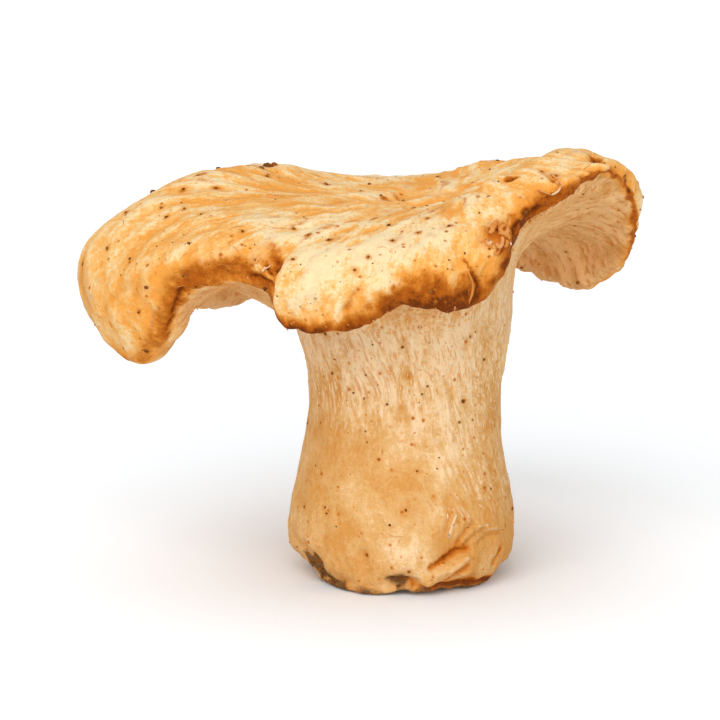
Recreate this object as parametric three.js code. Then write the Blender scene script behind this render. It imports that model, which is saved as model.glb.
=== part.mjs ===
// A hedgehog mushroom: one solid body with a lobed, uneven cap and a stout stem cut flat at the foot.
// Millimetres. +Z is up, +X is to the right and -Y is to the front. The origin is the middle of the foot.
import * as THREE from "three";

const AROUND = 84; // steps of bearing round the body
const STEPS_PER_SPAN = 2; // steps along the outline between two of its points

const CENTRE_HEIGHT = 57.2; // the shallow dip in the middle of the cap
const CAP_COLOUR = 0xdca45c;
const CAP_ROUGHNESS = 0.75;

// The cap, station by station, counter-clockwise from the left. Bearings are in degrees, 0 is +X and -90 is
// the front. "reach" is the cap's widest point and "reachHeight" its height, "lip" and "lipHeight" are the
// lowest point of the turned-down edge, "crown" is the height of the top near the edge, "vault" the height
// of the hollow underneath, and "edge" the thickness of the edge.
const STATIONS = [
  station(-170, 45.6, 43.5, 41.6, 34.0, 57.0, 45, 5.0),
  station(-161, 42.8, 46.5, 38.8, 38.4, 57.0, 46, 5.4),
  station(-153, 39.8, 50.0, 37.6, 45.4, 56.4, 47, 4.6),
  station(-143, 34.6, 51.6, 32.6, 48.6, 56.0, 48, 3.4),
  station(-135, 30.4, 50.8, 28.6, 47.4, 55.4, 48, 3.2),
  station(-126, 31.4, 48.6, 29.6, 43.2, 55.0, 47, 4.2),
  station(-106, 28.8, 48.4, 26.6, 42.8, 55.2, 47, 4.4),
  station(-90, 27.8, 49.8, 25.6, 46.2, 56.0, 48, 4.0),
  station(-72, 27.6, 50.4, 25.4, 45.4, 57.0, 48, 4.0),
  station(-57, 26.6, 54.0, 24.8, 49.4, 59.0, 50, 3.6),
  station(-44, 25.8, 59.0, 24.6, 57.0, 61.6, 53, 3.0),
  station(-29, 29.0, 62.6, 28.2, 61.2, 63.8, 56, 2.6),
  station(-14, 32.4, 63.8, 31.8, 62.6, 65.4, 58, 2.4),
  station(0, 35.2, 60.2, 34.6, 57.0, 65.2, 56, 2.4),
  station(13, 37.0, 55.0, 36.4, 49.4, 63.2, 53, 2.6),
  station(26, 38.4, 50.4, 37.0, 42.8, 62.0, 51, 3.0),
  station(39, 37.6, 48.6, 35.6, 39.8, 61.0, 49, 3.4),
  station(55, 36.6, 49.2, 34.6, 41.4, 59.6, 48, 3.8),
  station(70, 36.2, 50.2, 33.8, 43.0, 57.8, 47, 4.0),
  station(88, 38.8, 49.0, 36.4, 40.0, 56.6, 46, 4.4),
  station(106, 38.0, 49.4, 35.6, 41.4, 57.2, 46, 4.0),
  station(124, 40.2, 47.6, 37.6, 37.4, 58.8, 45, 4.2),
  station(145, 42.6, 46.6, 40.0, 36.4, 60.0, 45, 4.2),
  station(163, 46.4, 46.0, 44.2, 38.8, 59.8, 45, 4.2),
  station(178, 48.8, 45.4, 46.8, 38.8, 58.6, 45, 4.4),
];

// The stem from the foot up: height, radius, how far the ring leans to the right, and how deep it is from
// front to back as a share of its width.
const FOOT_RADIUS = 12;
const STEM_RINGS = [
  { height: 0.0, radius: FOOT_RADIUS, lean: 0.0, depth: 1.18 },
  { height: 1.5, radius: 14.9, lean: 0.5, depth: 1.03 },
  { height: 4.6, radius: 17.2, lean: 0.0, depth: 0.95 },
  { height: 10.0, radius: 17.2, lean: 0.0, depth: 0.95 },
  { height: 16.5, radius: 15.9, lean: 0.0, depth: 0.95 },
  { height: 23.0, radius: 14.7, lean: 0.4, depth: 0.95 },
  { height: 30.0, radius: 14.5, lean: 0.6, depth: 0.95 },
  { height: 36.5, radius: 15.7, lean: 0.2, depth: 0.95 },
];
const NECK_RISE = 5; // the stem's top ends this far below the vault
const NECK_FLARE = 2.4; // and stands this much wider than its last ring
const VAULT_PLACE = 0.5; // the vault's highest point, between the stem and the inside of the edge

function station(bearing, reach, reachHeight, lip, lipHeight, crown, vault, edge) {
  return { bearing, reach, reachHeight, lip, lipHeight, crown, vault, edge };
}

// A cubic curve through a periodic list of stations, with each slope taken from the two neighbours.
function capAt(bearing) {
  const count = STATIONS.length;
  const at = (index) => STATIONS[((index % count) + count) % count];
  const turned = (index) => at(index).bearing + 360 * Math.floor(index / count);
  let first = 0;
  while (turned(first) > bearing) first -= 1;
  while (turned(first + 1) <= bearing) first += 1;
  const span = turned(first + 1) - turned(first);
  const t = (bearing - turned(first)) / span;
  const cap = {};
  for (const key of Object.keys(STATIONS[0])) {
    if (key === "bearing") continue;
    const slope = (index) =>
      ((at(index + 1)[key] - at(index - 1)[key]) / (turned(index + 1) - turned(index - 1))) * span;
    const [a, b] = [at(first)[key], at(first + 1)[key]];
    const [slopeA, slopeB] = [slope(first), slope(first + 1)];
    cap[key] =
      a +
      t * slopeA +
      t * t * (3 * (b - a) - 2 * slopeA - slopeB) +
      t * t * t * (2 * (a - b) + slopeA + slopeB);
  }
  return cap;
}

// The cap's crown height or reach, averaged over bearings up to "turn" degrees away.
function broad(key, bearing, turn) {
  const turns = [-1, -0.5, 0, 0.5, 1];
  return turns.reduce((sum, share) => sum + capAt(bearing + share * turn)[key], 0) / turns.length;
}

// The stem's radius at one ring, seen along a bearing.
function stemRadius(ring, angle) {
  const flat = Math.hypot(Math.cos(angle), ring.depth * Math.sin(angle));
  return ring.radius * flat + ring.lean * Math.cos(angle);
}

// The outline's points in the upright plane at one bearing, from the cap's centre to the rim of the foot.
// Each point is (distance from the axis, height).
function outline(bearing) {
  const cap = capAt(bearing);
  const angle = THREE.MathUtils.degToRad(bearing);
  const drop = THREE.MathUtils.smoothstep(cap.reachHeight - cap.lipHeight, 0, 6);
  const inside = cap.lip - 0.9 * cap.edge;
  const stemTop = stemRadius(STEM_RINGS.at(-1), angle) + NECK_FLARE;
  const vaultRadius = stemTop + VAULT_PLACE * (inside - stemTop);
  const rise = (turn) => broad("crown", bearing, turn) - CENTRE_HEIGHT;
  const points = [
    [0, CENTRE_HEIGHT],
    [0.22 * broad("reach", bearing, 90), CENTRE_HEIGHT + 0.12 * rise(90)],
    [0.46 * broad("reach", bearing, 40), CENTRE_HEIGHT + 0.55 * rise(40)],
    [0.68 * cap.reach, cap.crown],
    [0.87 * cap.reach, cap.crown - 0.3 * (cap.crown - cap.reachHeight)],
    [0.97 * cap.reach, cap.crown - 0.66 * (cap.crown - cap.reachHeight)],
    [cap.reach, cap.reachHeight],
    [cap.lip + 0.6 * (cap.reach - cap.lip), cap.lipHeight + 0.4 * (cap.reachHeight - cap.lipHeight)],
    [cap.lip, cap.lipHeight],
    [cap.lip - 0.55 * cap.edge, cap.lipHeight - cap.edge * (0.3 - 0.34 * drop)],
    [inside, cap.lipHeight - cap.edge * (0.6 - 1.0 * drop)],
    [inside - 0.2 * (inside - vaultRadius), cap.lipHeight + 0.62 * (cap.vault - cap.lipHeight)],
    [vaultRadius, cap.vault],
    [stemTop, cap.vault - NECK_RISE],
  ];
  for (const ring of [...STEM_RINGS].reverse()) {
    points.push([stemRadius(ring, angle), ring.height]);
  }
  return points;
}

// A Catmull-Rom curve through an outline's points, level where it leaves the axis.
// "place" counts points from the first one, and its fraction lies between two of them.
function onOutline(points, place) {
  const i = Math.min(Math.floor(place), points.length - 2);
  const t = place - i;
  const [b, c] = [points[i], points[i + 1]];
  const a = i > 0 ? points[i - 1] : [-c[0], c[1]];
  const d = points[i + 2] ?? [2 * c[0] - b[0], 2 * c[1] - b[1]];
  return [0, 1].map(
    (k) =>
      b[k] +
      0.5 * t * (c[k] - a[k]) +
      0.5 * t * t * (2 * a[k] - 5 * b[k] + 4 * c[k] - d[k]) +
      0.5 * t * t * t * (3 * b[k] - a[k] - 3 * c[k] + d[k]),
  );
}

// One ring of points per step of the outline. The first step is the cap's centre, and a flat disc closes
// the foot.
function mushroomGeometry() {
  const bearings = Array.from({ length: AROUND }, (_, i) => STATIONS[0].bearing + (360 * i) / AROUND);
  const outlines = bearings.map(outline);
  const steps = (outlines[0].length - 1) * STEPS_PER_SPAN;
  const positions = [0, 0, CENTRE_HEIGHT];
  for (let step = 1; step <= steps; step += 1) {
    for (let i = 0; i < AROUND; i += 1) {
      const angle = THREE.MathUtils.degToRad(bearings[i]);
      const [distance, height] = onOutline(outlines[i], step / STEPS_PER_SPAN);
      positions.push(distance * Math.cos(angle), distance * Math.sin(angle), height);
    }
  }
  const footCentre = positions.length / 3;
  positions.push(0, 0, 0);

  const ringStart = (step) => 1 + (step - 1) * AROUND;
  const indices = [];
  for (let i = 0; i < AROUND; i += 1) {
    const next = (i + 1) % AROUND;
    indices.push(0, ringStart(1) + i, ringStart(1) + next);
    for (let step = 1; step < steps; step += 1) {
      const [a, b] = [ringStart(step) + i, ringStart(step) + next];
      const [c, d] = [ringStart(step + 1) + i, ringStart(step + 1) + next];
      indices.push(a, c, d, a, d, b);
    }
    indices.push(ringStart(steps) + next, ringStart(steps) + i, footCentre);
  }
  const geometry = new THREE.BufferGeometry();
  geometry.setAttribute("position", new THREE.Float32BufferAttribute(positions, 3));
  geometry.setIndex(indices);
  geometry.computeVertexNormals();
  return geometry;
}

function mushroom() {
  const material = new THREE.MeshStandardMaterial({
    color: CAP_COLOUR,
    roughness: CAP_ROUGHNESS,
    metalness: 0,
  });
  const mesh = new THREE.Mesh(mushroomGeometry(), material);
  mesh.name = "mushroom";
  return mesh;
}

const part = new THREE.Group();
part.add(mushroom());

export default part;
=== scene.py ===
"""The finished looks of a hedgehog mushroom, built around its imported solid.

The mushroom's skin is one closed surface of two parameters. "Place" counts along the outline, from the middle
of the cap over the edge, through the hollow underneath and down the stem to the foot. "Bearing" is the angle
round the stem in degrees: 0 is +X, to the right, and -90 is -Y, to the front. Shapes are worked out in
millimetres and written to meshes in metres, in the solid's own frame.
"""

import math
from collections import namedtuple
from functools import lru_cache

import bpy
import numpy as np
from bpy.props import FloatProperty, FloatVectorProperty, IntProperty, PointerProperty
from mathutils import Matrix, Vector


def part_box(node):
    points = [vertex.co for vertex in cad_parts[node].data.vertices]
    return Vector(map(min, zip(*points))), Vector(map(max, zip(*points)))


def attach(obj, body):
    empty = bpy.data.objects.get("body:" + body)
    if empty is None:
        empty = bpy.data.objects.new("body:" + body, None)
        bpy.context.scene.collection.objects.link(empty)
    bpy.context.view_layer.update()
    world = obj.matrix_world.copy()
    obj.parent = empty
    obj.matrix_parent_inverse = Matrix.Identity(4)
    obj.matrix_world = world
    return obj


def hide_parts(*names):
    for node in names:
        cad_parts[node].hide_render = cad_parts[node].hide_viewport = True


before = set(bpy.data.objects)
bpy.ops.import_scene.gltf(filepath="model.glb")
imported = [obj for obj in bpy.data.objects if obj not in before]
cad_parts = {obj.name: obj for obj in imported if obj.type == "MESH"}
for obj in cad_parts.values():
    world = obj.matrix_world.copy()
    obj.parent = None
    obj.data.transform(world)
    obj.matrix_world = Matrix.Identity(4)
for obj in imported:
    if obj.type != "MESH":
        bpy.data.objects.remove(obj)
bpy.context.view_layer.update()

bl_info = {
    "name": "Hedgehog Mushroom",
    "version": (1, 0, 0),
    "blender": (4, 5, 0),
    "location": "View3D > Sidebar > Mushroom",
    "description": "Builds a hedgehog mushroom with its spines, torn skin and soil, on a plain stage",
    "category": "Add Mesh",
}

NODE = "mushroom"
BODY = "root"
MM = 0.001


# ---- The outline: the solid's own measures, repeated here because the frame holds only its mesh ----

# One row per station round the cap: bearing; the cap's widest reach and its height; the lowest point of the
# turned-down edge, as reach and height; the crown near the edge; the vault underneath; the edge's thickness.
STATIONS = np.array([
    (-170, 45.6, 43.5, 41.6, 34.0, 57.0, 45, 5.0),
    (-161, 42.8, 46.5, 38.8, 38.4, 57.0, 46, 5.4),
    (-153, 39.8, 50.0, 37.6, 45.4, 56.4, 47, 4.6),
    (-143, 34.6, 51.6, 32.6, 48.6, 56.0, 48, 3.4),
    (-135, 30.4, 50.8, 28.6, 47.4, 55.4, 48, 3.2),
    (-126, 31.4, 48.6, 29.6, 43.2, 55.0, 47, 4.2),
    (-106, 28.8, 48.4, 26.6, 42.8, 55.2, 47, 4.4),
    (-90, 27.8, 49.8, 25.6, 46.2, 56.0, 48, 4.0),
    (-72, 27.6, 50.4, 25.4, 45.4, 57.0, 48, 4.0),
    (-57, 26.6, 54.0, 24.8, 49.4, 59.0, 50, 3.6),
    (-44, 25.8, 59.0, 24.6, 57.0, 61.6, 53, 3.0),
    (-29, 29.0, 62.6, 28.2, 61.2, 63.8, 56, 2.6),
    (-14, 32.4, 63.8, 31.8, 62.6, 65.4, 58, 2.4),
    (0, 35.2, 60.2, 34.6, 57.0, 65.2, 56, 2.4),
    (13, 37.0, 55.0, 36.4, 49.4, 63.2, 53, 2.6),
    (26, 38.4, 50.4, 37.0, 42.8, 62.0, 51, 3.0),
    (39, 37.6, 48.6, 35.6, 39.8, 61.0, 49, 3.4),
    (55, 36.6, 49.2, 34.6, 41.4, 59.6, 48, 3.8),
    (70, 36.2, 50.2, 33.8, 43.0, 57.8, 47, 4.0),
    (88, 38.8, 49.0, 36.4, 40.0, 56.6, 46, 4.4),
    (106, 38.0, 49.4, 35.6, 41.4, 57.2, 46, 4.0),
    (124, 40.2, 47.6, 37.6, 37.4, 58.8, 45, 4.2),
    (145, 42.6, 46.6, 40.0, 36.4, 60.0, 45, 4.2),
    (163, 46.4, 46.0, 44.2, 38.8, 59.8, 45, 4.2),
    (178, 48.8, 45.4, 46.8, 38.8, 58.6, 45, 4.4),
])
REACH, REACH_HEIGHT, LIP, LIP_HEIGHT, CROWN, VAULT, EDGE = range(1, 8)  # the columns of STATIONS

CENTRE_HEIGHT = 57.2  # the cap's middle
# The stem from the top down: height, radius, how far the ring leans to the right, and its depth from front to
# back as a share of its width.
STEM_RINGS = (
    (36.5, 15.7, 0.2, 0.95), (30.0, 14.5, 0.6, 0.95), (23.0, 14.7, 0.4, 0.95), (16.5, 15.9, 0.0, 0.95),
    (10.0, 17.2, 0.0, 0.95), (4.6, 17.2, 0.0, 0.95), (1.5, 14.9, 0.5, 1.03), (0.0, 12.0, 0.0, 1.18),
)
NECK_RISE = 5  # the stem's top ends this far below the vault
NECK_FLARE = 2.4  # and stands this much wider than its first ring
VAULT_PLACE = 0.5  # the vault's highest point, between the stem and the inside of the edge
FOOT_HOLLOW = 0.5  # the cut foot is dished by this much in its middle

# Where the parts begin and end: soft steps between two places along the outline.
EDGE_START = (4.2, 6.5)
TOP_END = (7.4, 8.4)
HOLLOW_START = (8.2, 9.2)
STEM_START = (12.4, 13.8)
ON_STEM = 14  # all places past this are on the stem
FOOT = 21  # the foot's rim
FOOT_TOP = (2.0, 11.0)  # the foot's lumps and soil fade out between these heights

# How closely the skin's rings lie in each span of the outline: closest at the cap's edge and low on the stem.
RING_DENSITY = (0.7, 0.8, 0.9, 1.0, 1.1, 1.3, 1.5, 1.6, 1.6, 1.5, 1.2,
                0.8, 0.9, 1.0, 1.0, 1.0, 1.0, 1.1, 1.5, 1.6, 1.4, 0.4)

# The ragged edge. Its reach wanders in and out and its lowest point up and down, each by layers of noise: the
# strength in millimetres, the noise cells in the radius of one turn, and the seed.
REACH_NOISE = ((0.35, 9, 11), (0.16, 30, 12))
LIP_NOISE = ((0.40, 16, 13), (0.30, 42, 14))
CRUMPLED = ((-60, -48), (-24, -14))  # the bearings between which the lip is twice as ragged, with soft ends
LIP_DIPS = ((-60, 8, 1.2), (-36, 6, 0.9))  # where the edge hangs lower: bearing, spread in degrees, drop

# The dashes and ridges on the right of the stem lean sideways on their way down.
STEM_SLANT = 0.45  # how far, as a share of the way down
SLANT_BEARING = -20  # where they lean most
SLANT_HEIGHTS = (12, 41)  # between which heights they lean
STEM_RADIUS = 16  # the stem's radius there, which turns the lean into degrees


def smooth(value, low, high):
    """A smooth step from 0 at low to 1 at high, 3t^2 - 2t^3 in between."""
    t = np.clip((value - low) / (high - low), 0, 1)
    return t * t * (3 - 2 * t)


def between(value, rise, fall):
    """1 between two soft steps: the first goes up from 0 and the second back down."""
    return smooth(value, *rise) * (1 - smooth(value, *fall))


def periodic(bearing, knots, values):
    """A cubic curve through values at periodic knots in degrees; each slope comes from its two neighbours."""
    count = len(knots)
    long_knots = np.concatenate([knots - 360, knots, knots + 360])
    long_values = np.concatenate([values, values, values])
    turned = (np.asarray(bearing, float) + 180) % 360 - 180
    first = np.searchsorted(long_knots, turned, side="right") - 1
    first = np.clip(first, 1, 3 * count - 3)
    span = long_knots[first + 1] - long_knots[first]
    t = (turned - long_knots[first]) / span
    a, b = long_values[first], long_values[first + 1]
    slope_a = (b - long_values[first - 1]) / (long_knots[first + 1] - long_knots[first - 1]) * span
    slope_b = (long_values[first + 2] - a) / (long_knots[first + 2] - long_knots[first]) * span
    bend = 3 * (b - a) - 2 * slope_a - slope_b
    return a + t * slope_a + t**2 * bend + t**3 * (2 * (a - b) + slope_a + slope_b)


def cap_measure(column, bearing):
    """One measure of the cap at each bearing, by its column in STATIONS."""
    return periodic(bearing, STATIONS[:, 0], STATIONS[:, column])


def broad_measure(column, bearing, turn):
    """The same measure, averaged over bearings up to "turn" degrees to each side."""
    return sum(cap_measure(column, bearing + share * turn) for share in (-1, -0.5, 0, 0.5, 1)) / 5


# ---- Noise ----

NOISE_CELLS = 64


def noise(points, seed):
    """Smooth noise from -1 to 1: random numbers at the corners of unit cells, blended inside each cell."""
    table = np.random.default_rng(seed).uniform(-1, 1, (NOISE_CELLS,) * 3)
    cell = np.floor(points).astype(int)
    t = points - cell
    t = t * t * (3 - 2 * t)
    total = np.zeros(points.shape[:-1])
    for corner in np.ndindex(2, 2, 2):
        weight = np.prod(np.where(corner, t, 1 - t), axis=-1)
        index = (cell + corner) % NOISE_CELLS
        total += weight * table[index[..., 0], index[..., 1], index[..., 2]]
    return total


def layered_noise(points, seed, layers=3):
    """Noise with finer layers added, each of half the cell size and half the strength of the last."""
    return sum(noise(points * 2**layer, seed + layer) / 2**layer for layer in range(layers))


def round_noise(bearing, layers):
    """Noise along a circle of bearings, summed over layers of strength, radius in noise cells, and seed."""
    angle = np.radians(bearing)
    height = np.full_like(angle, 0.37)
    return sum(strength * noise(np.stack([cells * np.cos(angle), cells * np.sin(angle), height], -1), seed)
               for strength, cells, seed in layers)


# ---- The surface ----

def stem_radius(ring, angle):
    """The radius of one ring of the stem at an angle: a flattened circle that leans to the right."""
    _, radius, lean, depth = ring
    return radius * np.hypot(np.cos(angle), depth * np.sin(angle)) + lean * np.cos(angle)


def outline(bearing):
    """The outline's points at each bearing, as (point, bearing, 2) of distance from the axis and height.
    The edge is made ragged here: its reach and its lowest point wander with noise round the cap."""
    angle = np.radians(bearing)
    wander = round_noise(bearing, REACH_NOISE)
    ragged = (1 + between(bearing, *CRUMPLED)) * round_noise(bearing, LIP_NOISE)
    reach = cap_measure(REACH, bearing) + wander
    reach_height = cap_measure(REACH_HEIGHT, bearing)
    lip = cap_measure(LIP, bearing) + wander + 0.5 * ragged
    lip_height = cap_measure(LIP_HEIGHT, bearing) + ragged
    lip_height -= sum(fall * np.exp(-((bearing - at) / spread) ** 2) for at, spread, fall in LIP_DIPS)
    crown = cap_measure(CROWN, bearing)
    vault = cap_measure(VAULT, bearing)
    edge = cap_measure(EDGE, bearing)
    drop = smooth(reach_height - lip_height, 0, 6)
    inside = lip - 0.9 * edge
    stem_top = stem_radius(STEM_RINGS[0], angle) + NECK_FLARE
    vault_radius = stem_top + VAULT_PLACE * (inside - stem_top)
    level = np.full_like(angle, CENTRE_HEIGHT)

    def inner_top(share, rise, turn):
        height = level + rise * (broad_measure(CROWN, bearing, turn) - level)
        return share * broad_measure(REACH, bearing, turn), height

    points = [
        # the cap's top, from its middle to the crown
        (0 * angle, level),
        inner_top(0.22, 0.12, 90),
        inner_top(0.46, 0.55, 40),
        (0.68 * reach, crown),
        # down to the widest reach, and on to the lip
        (0.87 * reach, crown - 0.3 * (crown - reach_height)),
        (0.97 * reach, crown - 0.66 * (crown - reach_height)),
        (reach, reach_height),
        (lip + 0.6 * (reach - lip), lip_height + 0.4 * (reach_height - lip_height)),
        (lip, lip_height),
        # round the lip, into the vault and down to the stem
        (lip - 0.55 * edge, lip_height - edge * (0.3 - 0.34 * drop)),
        (inside, lip_height - edge * (0.6 - 1.0 * drop)),
        (inside - 0.2 * (inside - vault_radius), lip_height + 0.62 * (vault - lip_height)),
        (vault_radius, vault),
        (stem_top, vault - NECK_RISE),
    ]
    points += [(stem_radius(ring, angle), np.full_like(angle, ring[0])) for ring in STEM_RINGS]
    points.append((0 * angle, np.full_like(angle, FOOT_HOLLOW)))
    return np.array(points).transpose(0, 2, 1)


def on_outline(points, place):
    """A Catmull-Rom curve through the outline's points, level where it meets the axis at either end."""
    mirror = np.array([-1, 1])
    padded = np.concatenate([points[1:2] * mirror, points, points[-2:-1] * mirror])
    first = np.minimum(place.astype(int), len(points) - 2)
    t = (place - first)[:, None, None]
    a, b, c, d = (padded[first + step] for step in range(4))
    return b + 0.5 * t * (c - a + t * (2 * a - 5 * b + 4 * c - d + t * (3 * b - a - 3 * c + d)))


def grid_normals(points):
    """Unit normals of a closed ring grid: across the rings times along them, pointing outwards."""
    along = np.gradient(points, axis=0)
    around = np.roll(points, -1, axis=1) - np.roll(points, 1, axis=1)
    normal = np.cross(along, around)
    normal[0] = (0, 0, 1)
    normal[-1] = (0, 0, -1)
    return towards(normal)


DOWN = np.array([0, 0, -1.0])


def towards(directions):
    """The same directions, each of length one."""
    return directions / np.linalg.norm(directions, axis=-1, keepdims=True)


# ---- What is drawn on the surface, in millimetres ----

# Furrows in the skin and, with a negative depth, ridges: the path, the half width, the depth and the brown.
# Brown darkens a line. In the creases, cracks, slits and grooves below it paints their shade, and along
# stained edges it is partly stain. A negative brown bleaches it; on fold crests and beside the torn pits
# that paleness is a painted highlight.
LINES = (
    # the crease between the left lobe and the front lobe, darkened with painted shade
    (((-18.7, -19.4, 53.7), (-18.2, -22.4, 52.3), (-18.7, -24.1, 50.7), (-19.4, -24.2, 48.8),
      (-19.1, -23.8, 46.7)), 0.9, 0.3, 0.4),
    # the rolled edge of the left lobe: a crack that runs up it and the stained roll beside it, both browned
    # partly as painted shade
    (((-32.8, -17.8, 46.6), (-33.5, -16.2, 44.3), (-34, -14.6, 42), (-34.7, -13.1, 39.7)), 0.4, 0.5, 0.65),
    (((-32.8, -18.3, 47.7), (-30.3, -19.7, 49.7), (-26.9, -20.6, 50.5), (-24, -21.1, 51.1),
      (-21.5, -21.6, 51), (-19.1, -22.9, 51.4)), 1.4, 0.5, 0.3),
    # shallow folds across the left lobe, lightly browned with painted shade
    (((-40.3, -13.9, 47.3), (-42.5, -11.5, 45.4), (-44.1, -8.9, 43.4), (-44.9, -6.3, 39.9)),
      0.7, 0.35, 0.16),
    (((-34, -15.8, 50.5), (-37.5, -14.5, 48), (-39.5, -12.8, 44.5)), 0.9, 0.2, 0.1),
    # the crease that cuts through the stained front edge, darkened with painted shade
    (((-6.5, -27.7, 49.2), (-7.4, -27.6, 47.7), (-8.2, -27.1, 46)), 0.5, 0.5, 0.35),
    # the crack that leads to the torn thread on the front edge, and the groove beside the thread, both
    # darkened with painted shade: the groove holds the thread's painted shadow
    (((8.9, -24.8, 53.2), (9.4, -25.3, 52.4), (9.9, -25.5, 51.3)), 0.35, 0.3, 0.6),
    (((10.1, -25.4, 50.7), (10.9, -24.4, 49.4), (11, -23.8, 48.3), (10.8, -23.6, 46.6)), 0.42, 0.4, 1),
    # the crease between the wart and the edge, and a slit above it, both darkened with painted shade
    (((17.6, -18.8, 58.2), (16.2, -20.1, 57), (16, -20.6, 55.6), (15.8, -20.6, 54.2)), 0.42, 0.5, 0.9),
    (((17.3, -18.6, 58.9), (17.8, -17.9, 59.7)), 0.3, 0.2, 0.6),
    # grooves beside the pale threads that meet on the raised edge, darkened as the threads' painted shadows
    (((21.3, -12.6, 63), (22.3, -14.4, 62.3), (23.2, -15.6, 61.5)), 0.4, 0.3, 0.35),
    (((19.5, -15.4, 61.4), (20.5, -16.2, 61), (21.6, -16.4, 60.4)), 0.4, 0.3, 0.4),
    # the cleft where the raised edge turns the corner, and a slit behind it, both dark with painted shade
    (((28.6, -3.7, 64.8), (28.6, -6.5, 64.7), (29, -8.6, 64.4)), 0.6, 1, 1.6),
    (((15.4, -12, 62.6), (16.3, -11.9, 62.9)), 0.38, 0.4, 1.7),
    # the torn pits in the left lobe: the folds below them, in painted shade, and the pale gleam beside them,
    # a painted highlight
    (((-22.4, -20.8, 49.3), (-21.1, -21.6, 49.1), (-20.1, -22.7, 48.7), (-19.5, -23.6, 47.9),
      (-19.2, -23.6, 46.9)), 0.4, 0.5, 0.6),
    (((-17.8, -23.7, 51.6), (-17.5, -23.2, 52.1), (-17.1, -22.6, 52.5)), 0.35, -0.1, -0.7),
    (((-21.8, -21.3, 50.5), (-21.5, -21.5, 51.3), (-21, -21.8, 51.4), (-20.5, -22.5, 50.8),
      (-20.2, -23, 49.8)), 0.3, -0.4, -0.65),
    # furrows along the middle of the cap
    (((-12, -2, 57), (-6, 2, 57), (0, 4, 57.5), (8, 5, 58), (15, 3, 60)), 1.4, 0.6, 0.22),
    (((-5, -12, 57), (-2, -8, 57.5), (2, -3, 57.5), (6, 1, 58)), 1, 0.35, 0.15),
    (((-34, 2, 58), (-25, 3, 58), (-15, 4, 57.5)), 1, 0.35, 0.12),
    # swirled folds at the right of the foot: their creases darkened with painted shade, their crests paled
    # with painted highlight
    (((4, -15.9, 4.5), (6.1, -15.3, 5.4), (8.3, -14.5, 6.9), (9.8, -13.6, 6.8)), 0.42, 0.8, 0.75),
    (((6.1, -15.3, 5.8), (7.6, -14.7, 7.2), (9, -14.2, 7.4)), 1.2, 0.5, 0.22),
    (((4.7, -15.5, 3.5), (7.3, -14.7, 4.3), (8.5, -14.3, 5.1), (9.4, -13.8, 5.8)), 0.6, -0.6, -0.3),
    (((6.4, -14.4, 2.1), (7.5, -14.2, 2.7), (8.1, -14.2, 3.7), (9.5, -13.6, 4.5)), 0.42, 0.7, 0.55),
    (((10.8, -12.6, 10.5), (9.7, -13.6, 9.9), (8.8, -14.1, 8.8), (8.2, -14.5, 7.8)), 0.42, 0.5, 0.32),
    (((12.6, -11.2, 9.9), (11.3, -12.3, 9.8), (10.4, -13.1, 9.5), (9.1, -14, 8.1)), 0.36, -0.4, -0.35),
    (((12.1, -11.7, 9.4), (10.9, -12.8, 9), (10.1, -13.4, 8.5), (9.4, -13.9, 7.7)), 0.36, 0.5, 0.35),
    (((14.1, -9.5, 8.9), (12.7, -11.2, 9.2), (11.7, -12.1, 8.9), (10.3, -13.3, 7.9)), 0.42, -0.4, -0.3),
    (((14.6, -8.9, 8.2), (12.9, -10.9, 8.3), (11.4, -12.4, 7.7)), 0.42, 0.4, 0.2),
    (((14.4, -9.1, 5.6), (13.5, -9.5, 3.4)), 0.35, 0.5, 0.6),
    # the front right of the foot's lower edge, painted dark brown as the shadow where it meets the ground
    (((3.5, -14.8, 0.6), (6.5, -14, 0.8), (9.5, -12.4, 0.9), (12, -10, 1), (13.6, -7, 1.2)), 0.6, 0.1, 1.5),
    # a pale, slightly raised streak across the front of the foot
    (((5, -15.5, 10.4), (1, -16, 6), (-3, -14.5, 1.5)), 1.6, -0.3, -0.1),
    # folds at the left of the foot, lightly browned with painted shade
    (((-6, -15.5, 6.5), (-5.2, -14.5, 3.5), (-4.5, -13.5, 1)), 0.8, 0.5, 0.12),
    (((-16.5, -5, 6.5), (-15, -8.5, 5.5), (-12.5, -11.5, 4)), 0.9, 0.5, 0.2),
    # scars low on the stem: a pale raised one, and painted shadow along its side
    (((7.9, -14.1, 12.2), (7.4, -14.6, 10.9), (6.8, -15.1, 9)), 0.35, -0.2, -0.35),
    (((7.2, -14.7, 12.3), (6.7, -15.1, 10.6), (6.3, -15.3, 9.2)), 0.35, 0.3, 0.28),
)
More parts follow.
